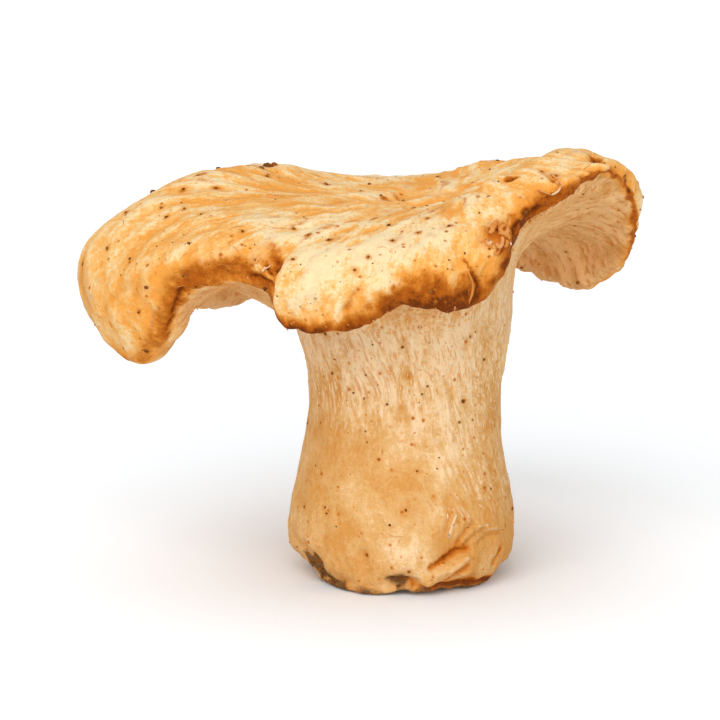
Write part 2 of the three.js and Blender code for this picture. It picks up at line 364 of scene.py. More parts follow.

# Round knobs on the skin and, with a negative height, dimples: centre, radius, height and brown. In the pits
# and the foot's recess the brown is painted shade, and along the raised edge it is partly painted shade.
MARKS = (
    # the knob at the top of the crease in the left lobe, and the torn pit below it, darkened with painted
    # shade
    (-20.4, -20.4, 53.2, 2.2, 1.1, 0.12), (-18.6, -21.4, 52.8, 0.9, -0.5, 0.35),
    (-20, -22.1, 51.6, 0.4, -0.6, 1.3), (-20.1, -22.8, 50.7, 0.5, -0.8, 1.6),
    (-18.7, -23.1, 51.5, 0.7, -0.4, 0.9), (-18.6, -21.6, 52.6, 0.45, -0.2, 0.6),
    # the wart below the raised edge: its swollen bed, the pits between its curls, dark with painted shade,
    # and stained skin round it
    (13.8, -21.6, 55.8, 1.9, 1, 0.65), (13.6, -21.2, 56.2, 0.45, -0.6, 0.8),
    (13.9, -22.7, 53.8, 0.6, -0.5, 1), (16.2, -20.2, 56.9, 0.6, -0.5, 0.9),
    (15.6, -18.7, 58.5, 0.4, -0.2, 0.4), (16, -20.4, 55.4, 1.9, -0.3, 0.45),
    (15, -21.6, 53.2, 2, -0.3, 0.45), (11.6, -22.8, 55.4, 1.8, -0.2, 0.25),
    # small stains round the torn thread
    (14.4, -21.2, 51.4, 0.8, -0.3, 0.8), (12.8, -22.2, 49.3, 0.7, -0.1, 0.55),
    (9.2, -24.9, 47.7, 0.8, -0.2, 0.6),
    # the darkest parts of the raised edge: stain, with painted shade where the edge turns down
    (16.8, -19.2, 57.8, 1.5, -0.2, 0.55), (19.5, -17, 59.6, 2.2, 0, 0.22),
    (26, -13.5, 62.9, 0.6, -0.2, 0.7), (28, -11.8, 63.4, 0.8, -0.2, 0.6),
    (29.6, -9.4, 62.9, 0.6, -0.3, 0.9), (21.8, -14.3, 62.6, 0.4, -0.1, 0.6),
    (26.9, -8, 64.8, 0.8, -0.1, 0.35), (24.3, -6.3, 65.5, 0.8, -0.1, 0.3),
    # lumps and the recess at the front of the foot, the recess darkened with painted shade
    (9, -13.5, 4, 2.2, 0.5, 0), (14, -9, 5, 2.6, 0.6, 0), (-5.6, -13.5, 1.5, 2.6, 0.9, 0),
    (-1.6, -15.6, 2, 1.5, -1, 0.2), (0.6, -15.6, 1.6, 1.6, -1, 0.25), (4, -15.2, 1.5, 1.8, 0.8, 0.05),
    # small orange pits on the stem
    (0.8, -14.2, 33, 0.5, -0.15, 0.55), (-0.2, -14, 28, 0.6, -0.15, 0.4), (-3.2, -13.6, 34, 0.6, -0.1, 0.3),
    (2.6, -14, 28.3, 0.4, -0.1, 0.4),
)

# Paler patches of flesh and, with a negative tone, warmer ones: centre, radius, tone. The pale ones on the
# front lobe and the raised edge are partly a painted highlight where these face the light.
PATCHES = (
    # the left lobe
    (-24.5, 1, 58.5, 3.5, 0.3), (-41, -8, 50, 7, -0.12), (-40, -12, 43, 7, -0.1), (-20, 11, 59, 5, -0.3),
    (-35.5, -15, 52.5, 3, -0.25), (-28, -15.5, 55, 4, -0.3), (-36.5, -17, 48, 2.5, -0.2),
    (-32.5, -3, 57.5, 4, -0.15), (-45.5, -6, 41, 2.5, -0.25), (-31.5, -16.5, 51.5, 1, 0.45),
    (-33, -17.5, 49, 0.9, 0.45), (-34, 20, 58, 7, -0.2),
    # the middle and the front lobe, whose pale patches are partly painted highlight
    (-15, -20, 54, 5, 0.44), (-11.5, -26, 51.5, 4, 0.48), (-2, -23, 54.5, 7.5, 0.52),
    (5, -20, 56, 4.5, 0.32), (-16.5, -12.5, 56.5, 3.5, 0.25), (-6, 0, 57, 5, -0.3),
    (1, 8.5, 57.5, 5, -0.25), (8.5, -15.5, 58.5, 2.5, -0.25), (-13, 4.5, 57.5, 4, -0.3),
    (10, -22.5, 55, 3, -0.25), (-19, -23, 51.5, 2.5, -0.3), (5, -25.5, 53.5, 2, -0.15),
    (-10, 26, 58, 8, 0.25), (18, 20, 58, 7, -0.25), (11.5, -24, 49, 1.8, 0.25),
    (14.2, -21.6, 49.5, 2, 0.35),
    # the raised edge, whose pale patches are partly painted highlight on the lit ridge
    (23.5, -10, 64.5, 4, 0.25), (13.5, -15.5, 60.5, 3.5, 0.3), (19, -16.8, 61, 3.4, -0.45),
    (25.5, -13, 63.4, 2.6, -0.3),
    # the stem: warm at the left, down its middle and in its lower half; pale at the front of the foot
    (-12, -8, 30, 4.5, -0.45), (-10.5, -9.5, 21, 5, -0.3), (0.5, -14.5, 16.5, 4.5, -0.5),
    (-9, -14, 9, 2.4, -0.25), (0.8, -14, 33, 1.6, -0.45), (-0.3, -13.5, 28, 1.8, -0.4),
    (-13, -9, 14, 5, -0.2), (12, -11, 12, 5, -0.3), (-4, -13.5, 24, 3, -0.2), (0.5, -16.5, 7, 4.2, 0.3),
    (-5, -14, 12.5, 3, 0.25), (-6, -13, 34, 4.5, 0.35), (7, -13, 31, 6, 0.22), (6, -15.5, 9, 2, -0.3),
    (15, -6, 4, 3.5, -0.35), (10.5, -12.5, 4.5, 2.5, -0.2), (-8.5, -13, 17, 3, 0.2), (14, 4, 14, 6, -0.35),
    (4, 14, 26, 6, -0.35), (-9, 13, 10, 5, -0.3), (14, -6, 27, 3.5, -0.35), (-6, 12, 30, 6, 0.3),
    (11, -9, 5, 3, 0.25),
)

# Soil that sticks to the foot: centre, radius, strength.
SOIL_PATCHES = (
    (-13.8, -9.3, 2.2, 3.2, 1.4), (-10, -11.5, 0, 2.8, 1.4), (-0.6, -15.6, 1.8, 2, 0.9), (13, 9, 1.5, 4, 1),
    (-6, 15, 2, 4.5, 1), (-16, 4, 2, 3, 1),
)

# The larger crumbs: centre and radius.
CRUMBS = np.array([
    (-11.9, 12.9, 57.8, 0.35), (-6, 7.9, 57.4, 0.3), (-6.5, 0.6, 57.2, 0.35), (-3, 4.7, 57.3, 0.35),
    (0.1, 1.5, 57.2, 0.3), (1.7, -3, 57.3, 0.3), (3.5, -4.1, 57.4, 0.35), (5.5, 15.6, 58, 0.3),
    (-15.9, -14.3, 55.7, 0.4), (-13.8, -17.2, 54.8, 0.25), (-11.1, -18.6, 54.8, 0.35),
    (3.7, -15.9, 57.1, 0.3), (2.2, -20.1, 55.9, 0.3), (-1.4, -21.6, 55, 0.3), (6.7, -19.6, 56.5, 0.35),
    (-16.2, -23, 52.5, 0.35), (-7.1, -26.1, 51.6, 0.35), (-5, -24.4, 53.2, 0.3), (-35.8, -2.2, 56.7, 0.35),
    (-35.1, -5.2, 55.7, 0.3), (-32.4, -4.1, 57, 0.3), (-30.1, -7.3, 56.7, 0.3), (-41.8, 2, 55.1, 0.4),
    (-44, -3.7, 50.9, 0.35), (-40.7, -10.1, 50.2, 0.35), (-39.2, -13.7, 42.9, 0.3),
    (-23.6, -15.7, 55.5, 0.4), (-38, 8, 57.5, 0.75), (-28, 16, 59.6, 0.6), (-20.7, 17.7, 59.6, 0.95),
    (-19.5, 18.6, 59.4, 0.65), (-21.7, 15.8, 59.6, 0.7), (-20.8, 12.2, 59.1, 0.3), (-28.4, 3.4, 58.8, 0.35),
    (-33.1, 2.9, 58.8, 0.3), (-30.8, 7.2, 59.5, 0.3), (-11.7, 12, 57.8, 0.35), (22.4, -12.8, 63.2, 0.3),
    (26.6, -6.9, 59.4, 0.35), (25.6, 18, 46.2, 0.25), (27.7, 18.7, 41.5, 0.5), (19, 25.5, 42, 0.35),
    (33.4, -4, 61.2, 0.35), (33.9, -2.4, 59.3, 0.35), (9.1, -11.2, 28.8, 0.42), (9.8, -12.5, 38.9, 0.25),
    (2.5, -16.4, 41, 0.25), (-10, -10.9, 35.3, 0.25), (-11.3, -11.3, 39.4, 0.4), (12, -9.4, 34.7, 0.3),
    (2.2, -14.5, 18.9, 0.25), (-3.5, -13.9, 20.7, 0.25), (-12.1, -9.4, 17.6, 0.22),
    (0.5, -15.8, 13.2, 0.25), (12.3, -10.1, 15.1, 0.22), (-14.9, -7.6, 11.7, 0.22),
    (-11.4, -11.8, 11.9, 0.25), (-5.2, -15.7, 6.6, 0.25), (14.4, -9.1, 5.6, 0.25), (-14.2, -1.5, 23.1, 0.3),
    (-48.1, 0.3, 47.2, 0.3), (1, -16.2, 4.2, 0.32), (20.6, -11.6, 63.6, 0.25),
])

# The stained skin round a crumb: its radius and strength, close by and, on the cap, further out.
CRUMB_HALO = (0.5, 0.45)
CAP_HALO = (1.2, 0.12)

# The brown band round the edge, partly stain and partly painted shade where the edge turns under: bearing,
# height above the lip, strength.
EDGE_STAIN_AND_SHADE = np.array([
    (-172, 0.8, 0.35), (-163, 1.2, 0.5), (-157, 1.8, 0.6), (-152, 2.8, 0.6), (-146, 3.6, 0.56),
    (-139, 3.6, 0.54), (-133, 3, 0.75), (-127, 1.5, 1.1), (-119, 1.2, 1.15), (-110, 1.4, 1.15),
    (-103, 2.9, 1), (-96, 3.3, 1), (-89, 3.9, 1.1), (-83, 4.4, 1.2), (-77, 4.4, 1.35), (-71, 4, 1.25),
    (-65, 2.8, 0.9), (-59, 2.4, 0.5), (-53, 2.6, 0.7), (-48, 3, 1.05), (-42, 2.8, 1), (-36, 1.9, 0.75),
    (-30, 1.2, 0.95), (-23, 0.9, 0.95), (-14, 0.5, 0.9), (-4, 0.4, 0.85), (12, 0.4, 0.8), (24, 0.4, 0.3),
    (45, 0.8, 0.35), (68, 2.4, 0.75), (88, 1.6, 0.6), (108, 3, 0.8), (128, 2, 0.55), (150, 2.6, 0.75),
    (168, 1.4, 0.45),
])


# ---- The skin: its relief and what the materials paint by ----

Skin = namedtuple("Skin", "place bearing points normals layers length")
# The smooth surface before its relief, and what its relief and paint follow.
Ground = namedtuple("Ground", "base row bearing wandering leant length masks streaks")

# How far bearings wander, so that folds and streaks aren't dead straight: degrees, size in mm, seed.
WANDER = ((7, 16, 21), (2.5, 5, 22))
STREAK_ORIGIN = (9, 4)  # streaks on the cap's top point away from this place beside the axis
STREAK_TURNS = (0.7, 9, 23)  # and turn from that by up to this many columns a ring: strength, size, seed
# Streaks in the flesh: the size of the noise, its seed, and over how many rings it is drawn out, each way.
# The ridges run down the stem, and their noise has its own size for each axis.
BROAD_STREAKS = (2.0, 24, 7)
FINE_STREAKS = (0.85, 25, 3)
RIDGES = ((0.625, 0.625, 1 / 0.9), 26, 3)

# Lumps: the part they are on, their height and size in millimetres, and the seed.
LUMPS = (
    ("top", 0.42, 10, 31), ("top", 0.27, 4.2, 32), ("top", 0.16, 1.9, 33), ("hollow", 0.12, 3, 37),
    ("stem", 0.45, 12, 41), ("stem", 0.20, 5, 42), ("stem", 0.08, 2, 43),
    ("foot", 0.60, 4.5, 45), ("foot", 0.25, 1.9, 46),
)
# Streaks that stand out: the part, the height, and which streaks.
RAISED_STREAKS = (("top", 0.14, "broad"), ("top", 0.08, "fine"), ("hollow", 0.07, "fine"))
PLEAT_HEIGHT = 0.26
PLEATS = (22, 9)  # noise cells in the radius of one turn, and millimetres along one
PLEAT_SEED = 35
RIDGE_HEIGHT = (0.03, 0.07)  # low on the stem, and how much more at its top
RIDGE_GROWTH = (20, 38)  # the heights between which the ridges grow
# The foot's rim is lifted off the ground unevenly: how much, by which noise (strength, size and seed), up to
# which height of the skin, and from how far before the rim.
RIM_LIFT = 1.4
RIM_NOISE = ((1, 5, 51), (0.3, 1.7, 52))
RIM_FADE = (0.5, 5)
RIM_START = 1.5
FLAT_FOOT = (20.6, 21.6)  # the relief fades out between these places, so that the foot stands flat

LINE_STEP = 0.2  # a line's path is sampled this closely
LINE_MARGIN = 6  # distances are worked out up to this far from it
FAR = 99.0  # and past that this stands for them


def path_points(corners, spread):
    """Points along a path of straight pieces, at the distances that "spread" gives for its whole length."""
    corners = np.array(corners, float)
    travelled = np.concatenate([[0], np.cumsum(np.linalg.norm(np.diff(corners, axis=0), axis=1))])
    at = spread(travelled[-1])
    return np.stack([np.interp(at, travelled, corners[:, axis]) for axis in range(3)], -1)


def nearest(points, target):
    """The number of the grid point nearest to a target, counted ring by ring."""
    return np.argmin(((points.reshape(-1, 3) - target) ** 2).sum(-1))


def onto_surface(points, target):
    """The grid point nearest to a target."""
    return points.reshape(-1, 3)[nearest(points, target)]


def line_distance(points, path):
    """Each grid point's distance to a path: the path is sampled, each sample is moved onto the surface, and
    the nearest sample counts. Points far from the path are left at a large distance."""
    drawn = path_points(path, lambda total: np.arange(0, total + LINE_STEP, LINE_STEP))
    samples = np.array([onto_surface(points, sample) for sample in drawn])
    low = samples.min(0) - LINE_MARGIN
    high = samples.max(0) + LINE_MARGIN
    near = np.all((points > low) & (points < high), axis=-1)
    distance = np.full(points.shape[:-1], FAR)
    gaps = points[near][:, None, :] - samples[None]
    distance[near] = np.sqrt((gaps**2).sum(-1)).min(1)
    return distance


def skin_places(skin, targets):
    """The places and bearings of the grid points nearest to some targets."""
    found = np.array([nearest(skin.points, target) for target in targets])
    return skin.place[found // len(skin.bearing)], skin.bearing[found % len(skin.bearing)]


def spot(points, centre, radius):
    """A round spot that fades as exp(-(d/radius)^2) from a centre moved onto the surface."""
    gap = points - onto_surface(points, np.array(centre))
    return np.exp(-(gap**2).sum(-1) / radius**2)


def flow_vector(bearing, length, cells, stretch):
    """Noise coordinates that follow the growth of the flesh: "cells" in the radius of each turn, and one cell
    per "stretch" millimetres along the outline. Patterns then run out from the middle and down the stem."""
    angle = np.radians(bearing) + 0 * length
    return np.stack([cells * np.cos(angle), cells * np.sin(angle), length / stretch], -1)


def smear(field, reach, lean):
    """A ring grid's values averaged along the outline, "reach" rings to either side with weights that fall
    off evenly, and scaled to a spread of one. Lean is how many columns it moves sideways per ring."""
    rows, columns = np.indices(field.shape)
    total = np.zeros_like(field)
    for step in range(-reach, reach + 1):
        weight = 1 - abs(step) / (reach + 1)
        shifted = (columns + np.rint(lean * step).astype(int)) % field.shape[1]
        total += weight * field[np.clip(rows + step, 0, len(field) - 1), shifted]
    return total / total.std()


def streak_lean(base, centre):
    """How many columns a streak moves sideways per ring so that it points away from a centre beside the axis.
    It is held between -3 and 3."""
    along = np.gradient(base, axis=0)
    around = (np.roll(base, -1, axis=1) - np.roll(base, 1, axis=1)) / 2
    away = base[..., :2] - np.array(centre)
    per_column = away[..., 0] * around[..., 1] - away[..., 1] * around[..., 0]
    per_ring = away[..., 1] * along[..., 0] - away[..., 0] * along[..., 1]
    return np.clip(per_ring / np.where(np.abs(per_column) < 0.01, 0.01, per_column), -3, 3)


def smooth_grid(rows, columns):
    """The smooth surface as a ring grid: the places of its rings, its bearings and its points."""
    bearing = np.arange(columns) * 360 / columns - 180
    points = outline(bearing)
    spans = np.linalg.norm(np.diff(points, axis=0), axis=-1).mean(1) * RING_DENSITY
    travelled = np.concatenate([[0], np.cumsum(spans)]) / spans.sum()
    place = np.interp(np.linspace(0, 1, rows), travelled, np.arange(len(points)))
    profile = on_outline(points, place)
    angle = np.radians(bearing)
    base = np.stack([profile[..., 0] * np.cos(angle), profile[..., 0] * np.sin(angle), profile[..., 1]], -1)
    return place, bearing, base


def grown_ground(place, bearing, base):
    """The smooth grid with the masks of its parts, and the directions and streaks of the flesh's growth."""
    height = base[..., 2]
    columns = len(bearing)
    steps = np.linalg.norm(np.diff(base, axis=0), axis=-1)
    length = np.concatenate([np.zeros((1, columns)), np.cumsum(steps, axis=0)])
    row = place[:, None] + 0 * length
    masks = {
        "top": 1 - smooth(row, *TOP_END),
        "edge": between(row, EDGE_START, TOP_END),
        "hollow": between(row, HOLLOW_START, STEM_START),
        "stem": smooth(row, *STEM_START),
        "foot": (1 - smooth(height, *FOOT_TOP)) * (row > ON_STEM),
    }
    wandering = bearing + sum(degrees * noise(base / size, seed) for degrees, size, seed in WANDER)
    leaning = (0.5 + 0.5 * np.cos(np.radians(bearing - SLANT_BEARING))) ** 2
    height_down = np.clip(height, *SLANT_HEIGHTS) - SLANT_HEIGHTS[1]
    leant = wandering + np.degrees(STEM_SLANT / STEM_RADIUS) * leaning * masks["stem"] * height_down

    turn, size, seed = STREAK_TURNS
    lean = streak_lean(base, STREAK_ORIGIN) * masks["top"] + turn * noise(base / size, seed)
    slant = STEM_SLANT * masks["stem"] * leaning * (height < SLANT_HEIGHTS[1])
    step_down = np.concatenate([steps, steps[-1:]])
    step_round = np.maximum(np.hypot(base[..., 0], base[..., 1]) * 2 * math.pi / columns, 0.1)

    def streaks_of(size, seed, reach, lean):
        return smear(noise(base / size, seed), reach, lean)

    streaks = {
        "broad": streaks_of(*BROAD_STREAKS, lean),
        "fine": streaks_of(*FINE_STREAKS, lean),
        "ridges": streaks_of(*RIDGES, slant * step_down / step_round),
    }
    return Ground(base, row, bearing, wandering, leant, length, masks, streaks)


@lru_cache(maxsize=None)
def mushroom_skin(rows, columns):
    """The skin as a ring grid, with relief, normals and the layers that the materials paint by.

    The smooth surface is moved along its normals by the sum of lumps, streaks that follow the growth, edge
    pleats, upright ridges on the stem, lumps at the foot, and the lines and marks above. The foot's rim is
    lifted unevenly off the ground."""
    place, bearing, base = smooth_grid(rows, columns)
    ground = grown_ground(place, bearing, base)
    relief, brown = skin_relief(ground)
    bottom = smooth(ground.row, *FLAT_FOOT)
    points = base + grid_normals(base) * (relief * (1 - bottom))[..., None]
    uneven = sum(strength * noise(base / size, seed) for strength, size, seed in RIM_NOISE)
    raised = np.maximum(0, uneven) * RIM_LIFT
    raised *= (1 - smooth(points[..., 2], *RIM_FADE)) * (ground.row > FOOT - RIM_START)
    points[..., 2] = np.maximum(points[..., 2] + raised, 0)
    points[0] = points[0].mean(0)
    points[-1] = points[-1].mean(0)
    return Skin(place, bearing, points, grid_normals(points), paint_layers(ground, brown), ground.length)


def skin_relief(ground):
    """How far each point moves along its normal, in mm, and how brown the lines, crumbs and marks make it."""
    base, masks, streaks = ground.base, ground.masks, ground.streaks
    relief = sum(masks[part] * height * noise(base / size, seed) for part, height, size, seed in LUMPS)
    relief += sum(masks[part] * height * streaks[name] for part, height, name in RAISED_STREAKS)
    pleats = noise(flow_vector(ground.wandering, ground.length, *PLEATS), PLEAT_SEED)
    relief += masks["edge"] * PLEAT_HEIGHT * pleats
    ridge_height = RIDGE_HEIGHT[0] + RIDGE_HEIGHT[1] * smooth(base[..., 2], *RIDGE_GROWTH)
    relief += masks["stem"] * ridge_height * streaks["ridges"]

    brown = np.zeros_like(relief)
    for path, half_width, depth, darkening in LINES:
        shape = np.exp(-((line_distance(base, path) / half_width) ** 2))
        relief -= depth * shape
        brown += darkening * shape
    for centre in CRUMBS[:, :3]:
        brown += CRUMB_HALO[1] * spot(base, centre, CRUMB_HALO[0])
        brown += CAP_HALO[1] * masks["top"] * spot(base, centre, CAP_HALO[0])
    for *centre, radius, height, darkening in MARKS:
        shape = spot(base, centre, radius)
        relief += height * shape
        brown += darkening * shape
    return relief, brown


def paint_layers(ground, brown):
    """What the materials paint by. Tone runs from 0, warm and dark, to 1, cream. Stain and shade goes from 0,
    clean, to 1, dark brown: stains, and the painted shade in creases, pits, slits and where the edge turns
    under. Below 0 the skin is bleached, and on fold crests and beside the torn pits this paints a highlight.
    Flow holds the growth coordinates. The others are masks from 0 to 1: soil, which along the foot's lowest
    millimetre also paints contact shade, hollow, stem, dashed, and outer for where the fine streaks show."""
    base, row, masks = ground.base, ground.row, ground.masks
    height = base[..., 2]
    # the distance above the lip, as a share of the stained band's height there, made uneven
    uneven = 0.24 * layered_noise(base / 2.4, 61) + 0.10 * ground.streaks["fine"]
    band = periodic(ground.bearing, EDGE_STAIN_AND_SHADE[:, 0], EDGE_STAIN_AND_SHADE[:, 1])
    above = np.maximum(height - cap_measure(LIP_HEIGHT, ground.bearing), 0) / band + uneven
    inner = 1 - smooth(row, 2.6, 4.2)
    right_side = 0.7 * smooth(base[..., 0], 0, 9) * smooth(height, 8, 13)
    dashed = masks["stem"] * np.maximum(smooth(height, 18, 32), right_side)
    outer = smooth(np.hypot(base[..., 0], base[..., 1]), 8, 20)
    return {
        "tone": np.clip(paint_tone(ground, above, inner, dashed), -0.3, 1.3),
        "stain": np.clip(paint_stain_and_shade(ground, above, inner) + brown, -0.5, 1.2),
        "soil": np.clip(paint_soil(ground), 0, 1),
        "hollow": masks["hollow"],
        "stem": masks["stem"],
        "dashed": dashed,
        "outer": np.maximum(outer * (1 - 0.5 * smooth(row, 3.8, 5.2)), masks["stem"]),
        "flow": flow_vector(ground.leant, ground.length, 1, 10),
    }


def paint_stain_and_shade(ground, above, inner):
    """Stain and shade is strongest in the band round the edge, partly painted shade where the edge turns
    under, and fades upwards. To it come the strongest of the fine streaks, mostly near the middle of the cap;
    blotches towards the edge; and a darkening of the foot towards the ground, painted contact shade."""
    base, row = ground.base, ground.row
    inside = row + 0.5 * layered_noise(base / 1.6, 62)
    near_edge = smooth(row, 4.0, 5.6) * (1 - smooth(inside, 8.0, 8.7))
    strength = periodic(ground.bearing, EDGE_STAIN_AND_SHADE[:, 0], EDGE_STAIN_AND_SHADE[:, 2])
    stain = strength * (1.05 - 0.95 * smooth(above, -0.1, 1.7)) * near_edge * (1 - smooth(above, 1.0, 2.2))
    streaked = smooth(ground.streaks["fine"], 0.7, 2.2) * (1 - smooth(row, 4.5, 6.5))
    stain += (0.12 + 0.22 * inner) * streaked
    stain += 0.22 * smooth(layered_noise(base / 6, 63), 0.3, 0.9) * between(row, (4.0, 5.5), (7, 8))
    # the lowest 3 mm of the foot darken towards the ground, as painted contact shade
    bottom_noise = layered_noise(base / 3.5, 68)
    low = 1 - smooth(base[..., 2] + 0.8 * bottom_noise, 0.3, 3.0)
    return stain + 0.7 * smooth(bottom_noise, -0.1, 0.7) * low * (row > ON_STEM)


def paint_tone(ground, above, inner, dashed):
    """Tone is the sum of the streaks, which are strongest near the middle of the cap and weak on the stem; of
    broad and of fine noise; of a warm band above the edge, partly painted shade where the edge turns under;
    of a stem that is pale at its top, partly painted light against the cap's shade, and warm low down, partly
    painted shade against the floor's bright bounce; and of the patches above, some of them partly painted
    highlight."""
    base, row, streaks = ground.base, ground.row, ground.streaks
    stem = ground.masks["stem"]
    height = base[..., 2]
    grown = (0.13 + 0.13 * inner) * streaks["broad"] + (0.12 + 0.06 * inner) * streaks["fine"]
    tone = 0.45 + 0.08 * inner + grown * (1 - 0.8 * stem) + 0.15 * streaks["ridges"] * dashed
    tone += (0.10 + 0.16 * stem) * noise(base / 7, 64)
    tone += (0.06 + 0.12 * stem + 0.20 * inner) * layered_noise(base / 2.5, 65)
    # a warm band just above the lip: partly the flesh's colour, partly painted shade where the edge turns
    # under
    tone -= 0.35 * (1 - smooth(above, 0.9, 3.0)) * between(row, (3.5, 5.0), (8.0, 9.0))
    # the stem is paler at its top and warmer low down: partly its flesh, partly painted light under the cap's
    # shade and painted shade where the floor's bounce is strongest
    tone += stem * (0.30 * smooth(height, 22, 38) - 0.22 * (1 - smooth(height, 8, 20)))
    for *centre, radius, change in PATCHES:
        tone += change * spot(base, centre, radius)
    return tone


def paint_soil(ground):
    """Soil is the strongest of the patches above, with ragged rims, and of what is rubbed into the foot,
    which along its lowest millimetre also paints the contact shade at the ground.
    """
    base, masks = ground.base, ground.masks
    clotted = 0.45 * layered_noise(base / 2.5, 66)
    patches = [strength * smooth(spot(base, centre, radius) + clotted, 0.35, 1.1)
               for *centre, radius, strength in SOIL_PATCHES]
    soil = np.max(patches, axis=0) * masks["foot"]
    # soil rubbed into the lowest millimetre of the stem all round, which also paints the contact shade
    rubbed_soil_and_shade = np.clip(0.40 + 0.35 * layered_noise(base / 1.8, 67), 0, 0.8)
    return np.maximum(soil, rubbed_soil_and_shade * (1 - smooth(base[..., 2], 0.2, 1.3)) * masks["stem"])


def at_places(skin, layer, place, bearing):
    """A grid layer's values at scattered places and bearings, by blending the four nearest grid points."""
    row = np.interp(place, skin.place, np.arange(len(skin.place)))
    column = (bearing + 180) / 360 * len(skin.bearing)
    i = np.clip(row.astype(int), 0, len(skin.place) - 2)
    j = np.floor(column).astype(int)
    u = row - i
    v = column - j
    j = j % len(skin.bearing)
    k = (j + 1) % len(skin.bearing)
    if layer.ndim == 3:
        u = u[:, None]
        v = v[:, None]
    above = (1 - v) * layer[i, j] + v * layer[i, k]
    below = (1 - v) * layer[i + 1, j] + v * layer[i + 1, k]
    return (1 - u) * above + u * below


def on_skin(skin, place, bearing):
    """The skin's points and normals at scattered places and bearings."""
    return at_places(skin, skin.points, place, bearing), at_places(skin, skin.normals, place, bearing)


# ---- Meshes ----

SPIKE_RINGS = ((0.0, 1.0), (0.4, 0.85), (0.78, 0.5))  # shares of a spike's length and of its root's radius
TUBE_HELPER = (0.31, 0.17, 0.93)  # a direction that no tube runs along

CRUMB_SIDES = 7
CRUMB_RINGS = 3
CRUMB_ROUGHNESS = (0.65, 1.25)  # each point's distance from the middle, as a share of the radius
CRUMB_STRETCH = (0.8, 1.5)
CRUMB_FLATNESS = 0.7


def write_mesh(name, points, faces, layers, material):
    """A new object from points in millimetres and faces, with a float or vector attribute per layer."""
    mesh = bpy.data.meshes.new(name)
    mesh.from_pydata((points * MM).tolist(), [], faces)
    for key, values in layers.items():
        kind, field = ("FLOAT_VECTOR", "vector") if values.ndim == 2 else ("FLOAT", "value")
        attribute = mesh.attributes.new(key, kind, "POINT")
        attribute.data.foreach_set(field, np.ascontiguousarray(values, np.float32).ravel())
    mesh.shade_smooth()
    mesh.materials.append(material)
    piece = bpy.data.objects.new(name, mesh)
    bpy.context.scene.collection.objects.link(piece)
    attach(piece, BODY)
    return piece


def ring_faces(rings, columns, first=0):
    """Quads between successive rings of a closed ring grid whose points are numbered row by row."""
    ring = np.arange(rings - 1)[:, None] * columns + first
    here = np.arange(columns)[None, :]
    right = (here + 1) % columns
    corners = (ring + here, ring + columns + here, ring + columns + right, ring + right)
    return np.stack(corners, -1).reshape(-1, 4)


def fan(middle, first, columns):
    """Triangles between one middle point and a ring of points."""
    here = np.arange(columns)
    return np.stack([np.full_like(here, middle), first + here, first + (here + 1) % columns], -1)


def closed_layer(layer):
    """A grid layer point by point, with only one point for its first ring and one for its last."""
    return np.concatenate([layer[:1, 0], layer[1:-1].reshape((-1,) + layer.shape[2:]), layer[-1:, 0]])


def closed_grid(points):
    """Points and faces of a ring grid whose first and last rings each shrink to one point."""
    rows, columns = points.shape[:2]
    flat = closed_layer(points)
    top = fan(0, 1, columns)
    bottom = fan(len(flat) - 1, 1 + (rows - 3) * columns, columns)[:, ::-1]
    return flat, top.tolist() + ring_faces(rows - 2, columns, first=1).tolist() + bottom.tolist()


def across(directions):
    """Two more directions for each one given, at right angles to it and to each other."""
    upright = np.abs(directions[:, 2:3]) > 0.9
    side = towards(np.cross(directions, np.where(upright, np.array([1.0, 0, 0]), np.array([0, 0, 1.0]))))
    return side, np.cross(directions, side)


def circles(side, other, sides):
    """Unit circles: the cosine of each corner's angle along one direction, the sine along another."""
    turn = np.arange(sides)[:, None] * 2 * math.pi / sides
    return side[..., None, :] * np.cos(turn) + other[..., None, :] * np.sin(turn)


def repeated(shapes, starts):
    """The faces of one small shape, once for each number at which a copy's points start. The shape is given
    as arrays of faces with like numbers of corners."""
    faces = []
    for shape in shapes:
        faces += (shape[None] + starts[:, None, None]).reshape(-1, shape.shape[1]).tolist()
    return faces


def spikes(roots, directions, lengths, radii, bends, sides=5):
    """Many small tapered spikes as one mesh, and how far along its spike each point lies. A spike is rings
    and a tip along a gently bent line, with its root closed: each ring lies at a share of the length, its
    radius shrinks with that share, and the line moves sideways by the bend times the share squared."""
    circle = circles(*across(directions), sides)
    rings = []
    for share, width in SPIKE_RINGS:
        middle = roots + directions * (lengths * share)[:, None] + bends * share**2
        rings.append(middle[:, None] + circle * (radii * width)[:, None, None])
    tips = roots + directions * lengths[:, None] + bends
    points = np.concatenate(rings + [tips[:, None]], 1)

    last_ring = (len(SPIKE_RINGS) - 1) * sides
    walls = ring_faces(len(SPIKE_RINGS), sides)[:, ::-1]
    tip = fan(last_ring + sides, last_ring, sides)
    root = np.arange(sides)[None, ::-1]
    starts = np.arange(len(roots)) * points.shape[1]
    share = np.append(np.repeat([share for share, _ in SPIKE_RINGS], sides), 1.0)
    return points.reshape(-1, 3), repeated((walls, tip, root), starts), np.tile(share, len(roots))


def tubes(paths, radii, sides=5):
    """Many thin tubes as one mesh. Paths are (tube, step, 3) and radii (tube, step); each ring stands across
    its path, and each end closes to a point."""
    count, steps = radii.shape
    direction = towards(np.gradient(paths, axis=1))
    side = towards(np.cross(direction, TUBE_HELPER))
    rings = paths[:, :, None] + circles(side, np.cross(direction, side), sides) * radii[:, :, None, None]
    points = np.concatenate([paths[:, :1], rings.reshape(count, -1, 3), paths[:, -1:]], 1)

    walls = ring_faces(steps, sides, first=1)[:, ::-1]
    start = fan(0, 1, sides)[:, ::-1]
    end = fan(1 + steps * sides, 1 + (steps - 1) * sides, sides)
    starts = np.arange(count) * points.shape[1]
    return points.reshape(-1, 3), repeated((walls, np.concatenate([start, end])), starts)


